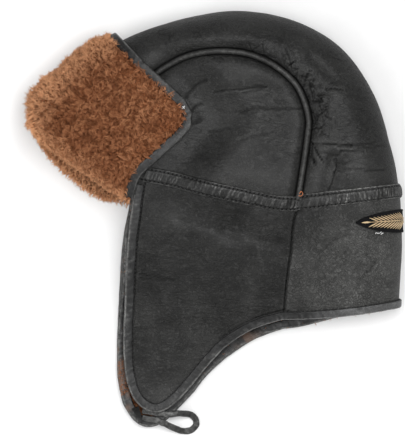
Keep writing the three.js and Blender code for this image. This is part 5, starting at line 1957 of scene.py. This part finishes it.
# Rows on the bindings: name, frames of the edge, and how far out and up the row lies
STITCH_ROWS = [
    ("hem_stitches", HEM_FRAMES, -5.5, 0.35),
    ("front_flap_stitches", FLAP_FRAMES, -3.1, 5.95),
]
for name, (points, side, up), offset, level in STITCH_ROWS:
    row = points + side * offset + up * level
    dress(sew(name, row, up, STITCH_PITCH, 1.0), "binding")

# Fine stitches beside the near piping, where its seam is topstitched
TOPSTITCHED_ROWS = (9.6, 13.5)
TOPSTITCH_OFF = 3.7
seam = beside(SECTIONS, [2, 3], np.linspace(*TOPSTITCHED_ROWS, 200), 0.1, np.full(200, TOPSTITCH_OFF))
place, up = on_side(seam[:, 0], seam[:, 1], True)
dress(sew("piping_stitches", place - up * 0.75, up, 2.1, 0.5), "piping")


# Seam allowance under the seam between ear flap and neck, which closes it from within
for side, near, _ in SIDES:
    seam = sample(SECTIONS, np.linspace(BAND_ROW + 0.05, HEM_ROW - 0.05, 60))[:, 2:4]
    place, up = on_side(seam[:, 0], seam[:, 1], near)
    out_side, up = frames_on(place, up)
    rings = rings_of(place, out_side, up, oblong(2.6, -2.0, -1.2, 3, 0.4))
    dress(sweep(f"neck_seam_tape_{side}", rings, FLAP_HIDE), "leather")

# Worn places of the far binding, where brown wool and suede come through
# WORN_RUNS: their lowest and highest y. WORN_ROWS: how far out, how far under, and how the wool leans out.
WORN_RUNS = [(-104, -88), (-206, -158)]
WORN_ROWS = [(-5.0, 5.9, -0.2), (-3.0, 6.0, 0.2), (-1.2, 5.9, 0.6), (0.6, 5.4, 0.9)]
points, side, up = HEM_FRAMES
front_of_far = (points[:, 2] < 14) & (points[:, 0] < -60)
for k, (low, high) in enumerate(WORN_RUNS):
    chosen = front_of_far & (points[:, 1] > low) & (points[:, 1] < high)
    place, out_side, down = points[chosen], side[chosen], -up[chosen]
    grid = np.stack([place + out_side * off + down * level for off, level, _ in WORN_ROWS])
    direction = np.stack([unit(out_side * lean_out + down) for _, _, lean_out in WORN_ROWS])
    density = rise(noise(grid, 7, 131), -0.2, 0.4)
    ones = np.ones(grid.shape[:2])
    worn_wool = plant(
        f"far_edge_wool_{k}", grid, combed(grid, direction, 0.8, 0.7, 132), ones * 0.6, density,
        ones * 0.1, 1.5, 3.4, 31 + k,
    )
    dress(worn_wool, "lining", "fleece_ear_right")


# Loose ends of thread. The orange one's places: x, y and height over the near side
ORANGE_PATH = [
    (32.8, -40.2, 1.2), (34.4, -41.8, 2.4), (36.2, -40.0, 2.6),
    (37.6, -42.0, 2.4), (36.0, -43.6, 2.2), (33.4, -43.0, 2.3),
]
# White bits under the badge's near end: how far back of it, how far below the badge's middle, and length
WHITE_BITS = [(17.0, 8.6, 3.2), (19.5, 9.3, 2.2), (15.2, 8.9, 1.6)]
# White speck on the flap's binding: its place, and the turn and half length of its two hairs
SPECK = (-64.0, 19.5)
SPECK_HAIRS = [(0.4, 1.5), (1.9, 1.1)]


def loose_thread(name, path, radius, material):
    """A short free end of thread along the path's places."""
    path = np.array(path, float)
    fine = sample(path, np.linspace(0, len(path) - 1, 8 * len(path)))
    place, up = on_side(fine[:, 0], fine[:, 1], True)
    place = place + up * fine[:, 2:3]
    dress(sweep(name, cord_rings(place, up, radius, THREAD_SIDES), material), "binding")


loose_thread("orange_thread_end", ORANGE_PATH, 0.3, ORANGE_THREAD)
near_end_mm = rib(np.array([float(BADGE_ROW)]), FORM)[6][0] + BADGE_ENDS
for k, (back, low, long) in enumerate(WHITE_BITS):
    t = np.linspace(0, 1, 9)
    curl = 0.5 * np.sin(5 * t + k)
    place, out = badge_place(near_end_mm - back - long * t, low + curl)
    rings = cord_rings(place + out * 1.2, out, 0.3, THREAD_SIDES)
    dress(sweep(f"white_thread_{k}", rings, WHITE_THREAD), "embroidery")
points, side, up = FLAP_FRAMES
upper = np.where(points[:, 2] > 30)[0]
k = upper[np.argmin(np.hypot(points[upper, 0] - SPECK[0], points[upper, 1] - SPECK[1]))]
for turn, long in SPECK_HAIRS:
    t = np.linspace(-1, 1, 7)[:, None]
    way = side[k] * np.cos(turn) + np.cross(up[k], side[k]) * np.sin(turn)
    place = points[k] - side[k] * 2.2 + up[k] * 6.7 + way * t * long
    rings = cord_rings(place, np.tile(up[k], (len(t), 1)), 0.35, THREAD_SIDES)
    dress(sweep(f"white_speck_{int(turn * 10)}", rings, WHITE_THREAD), "binding")
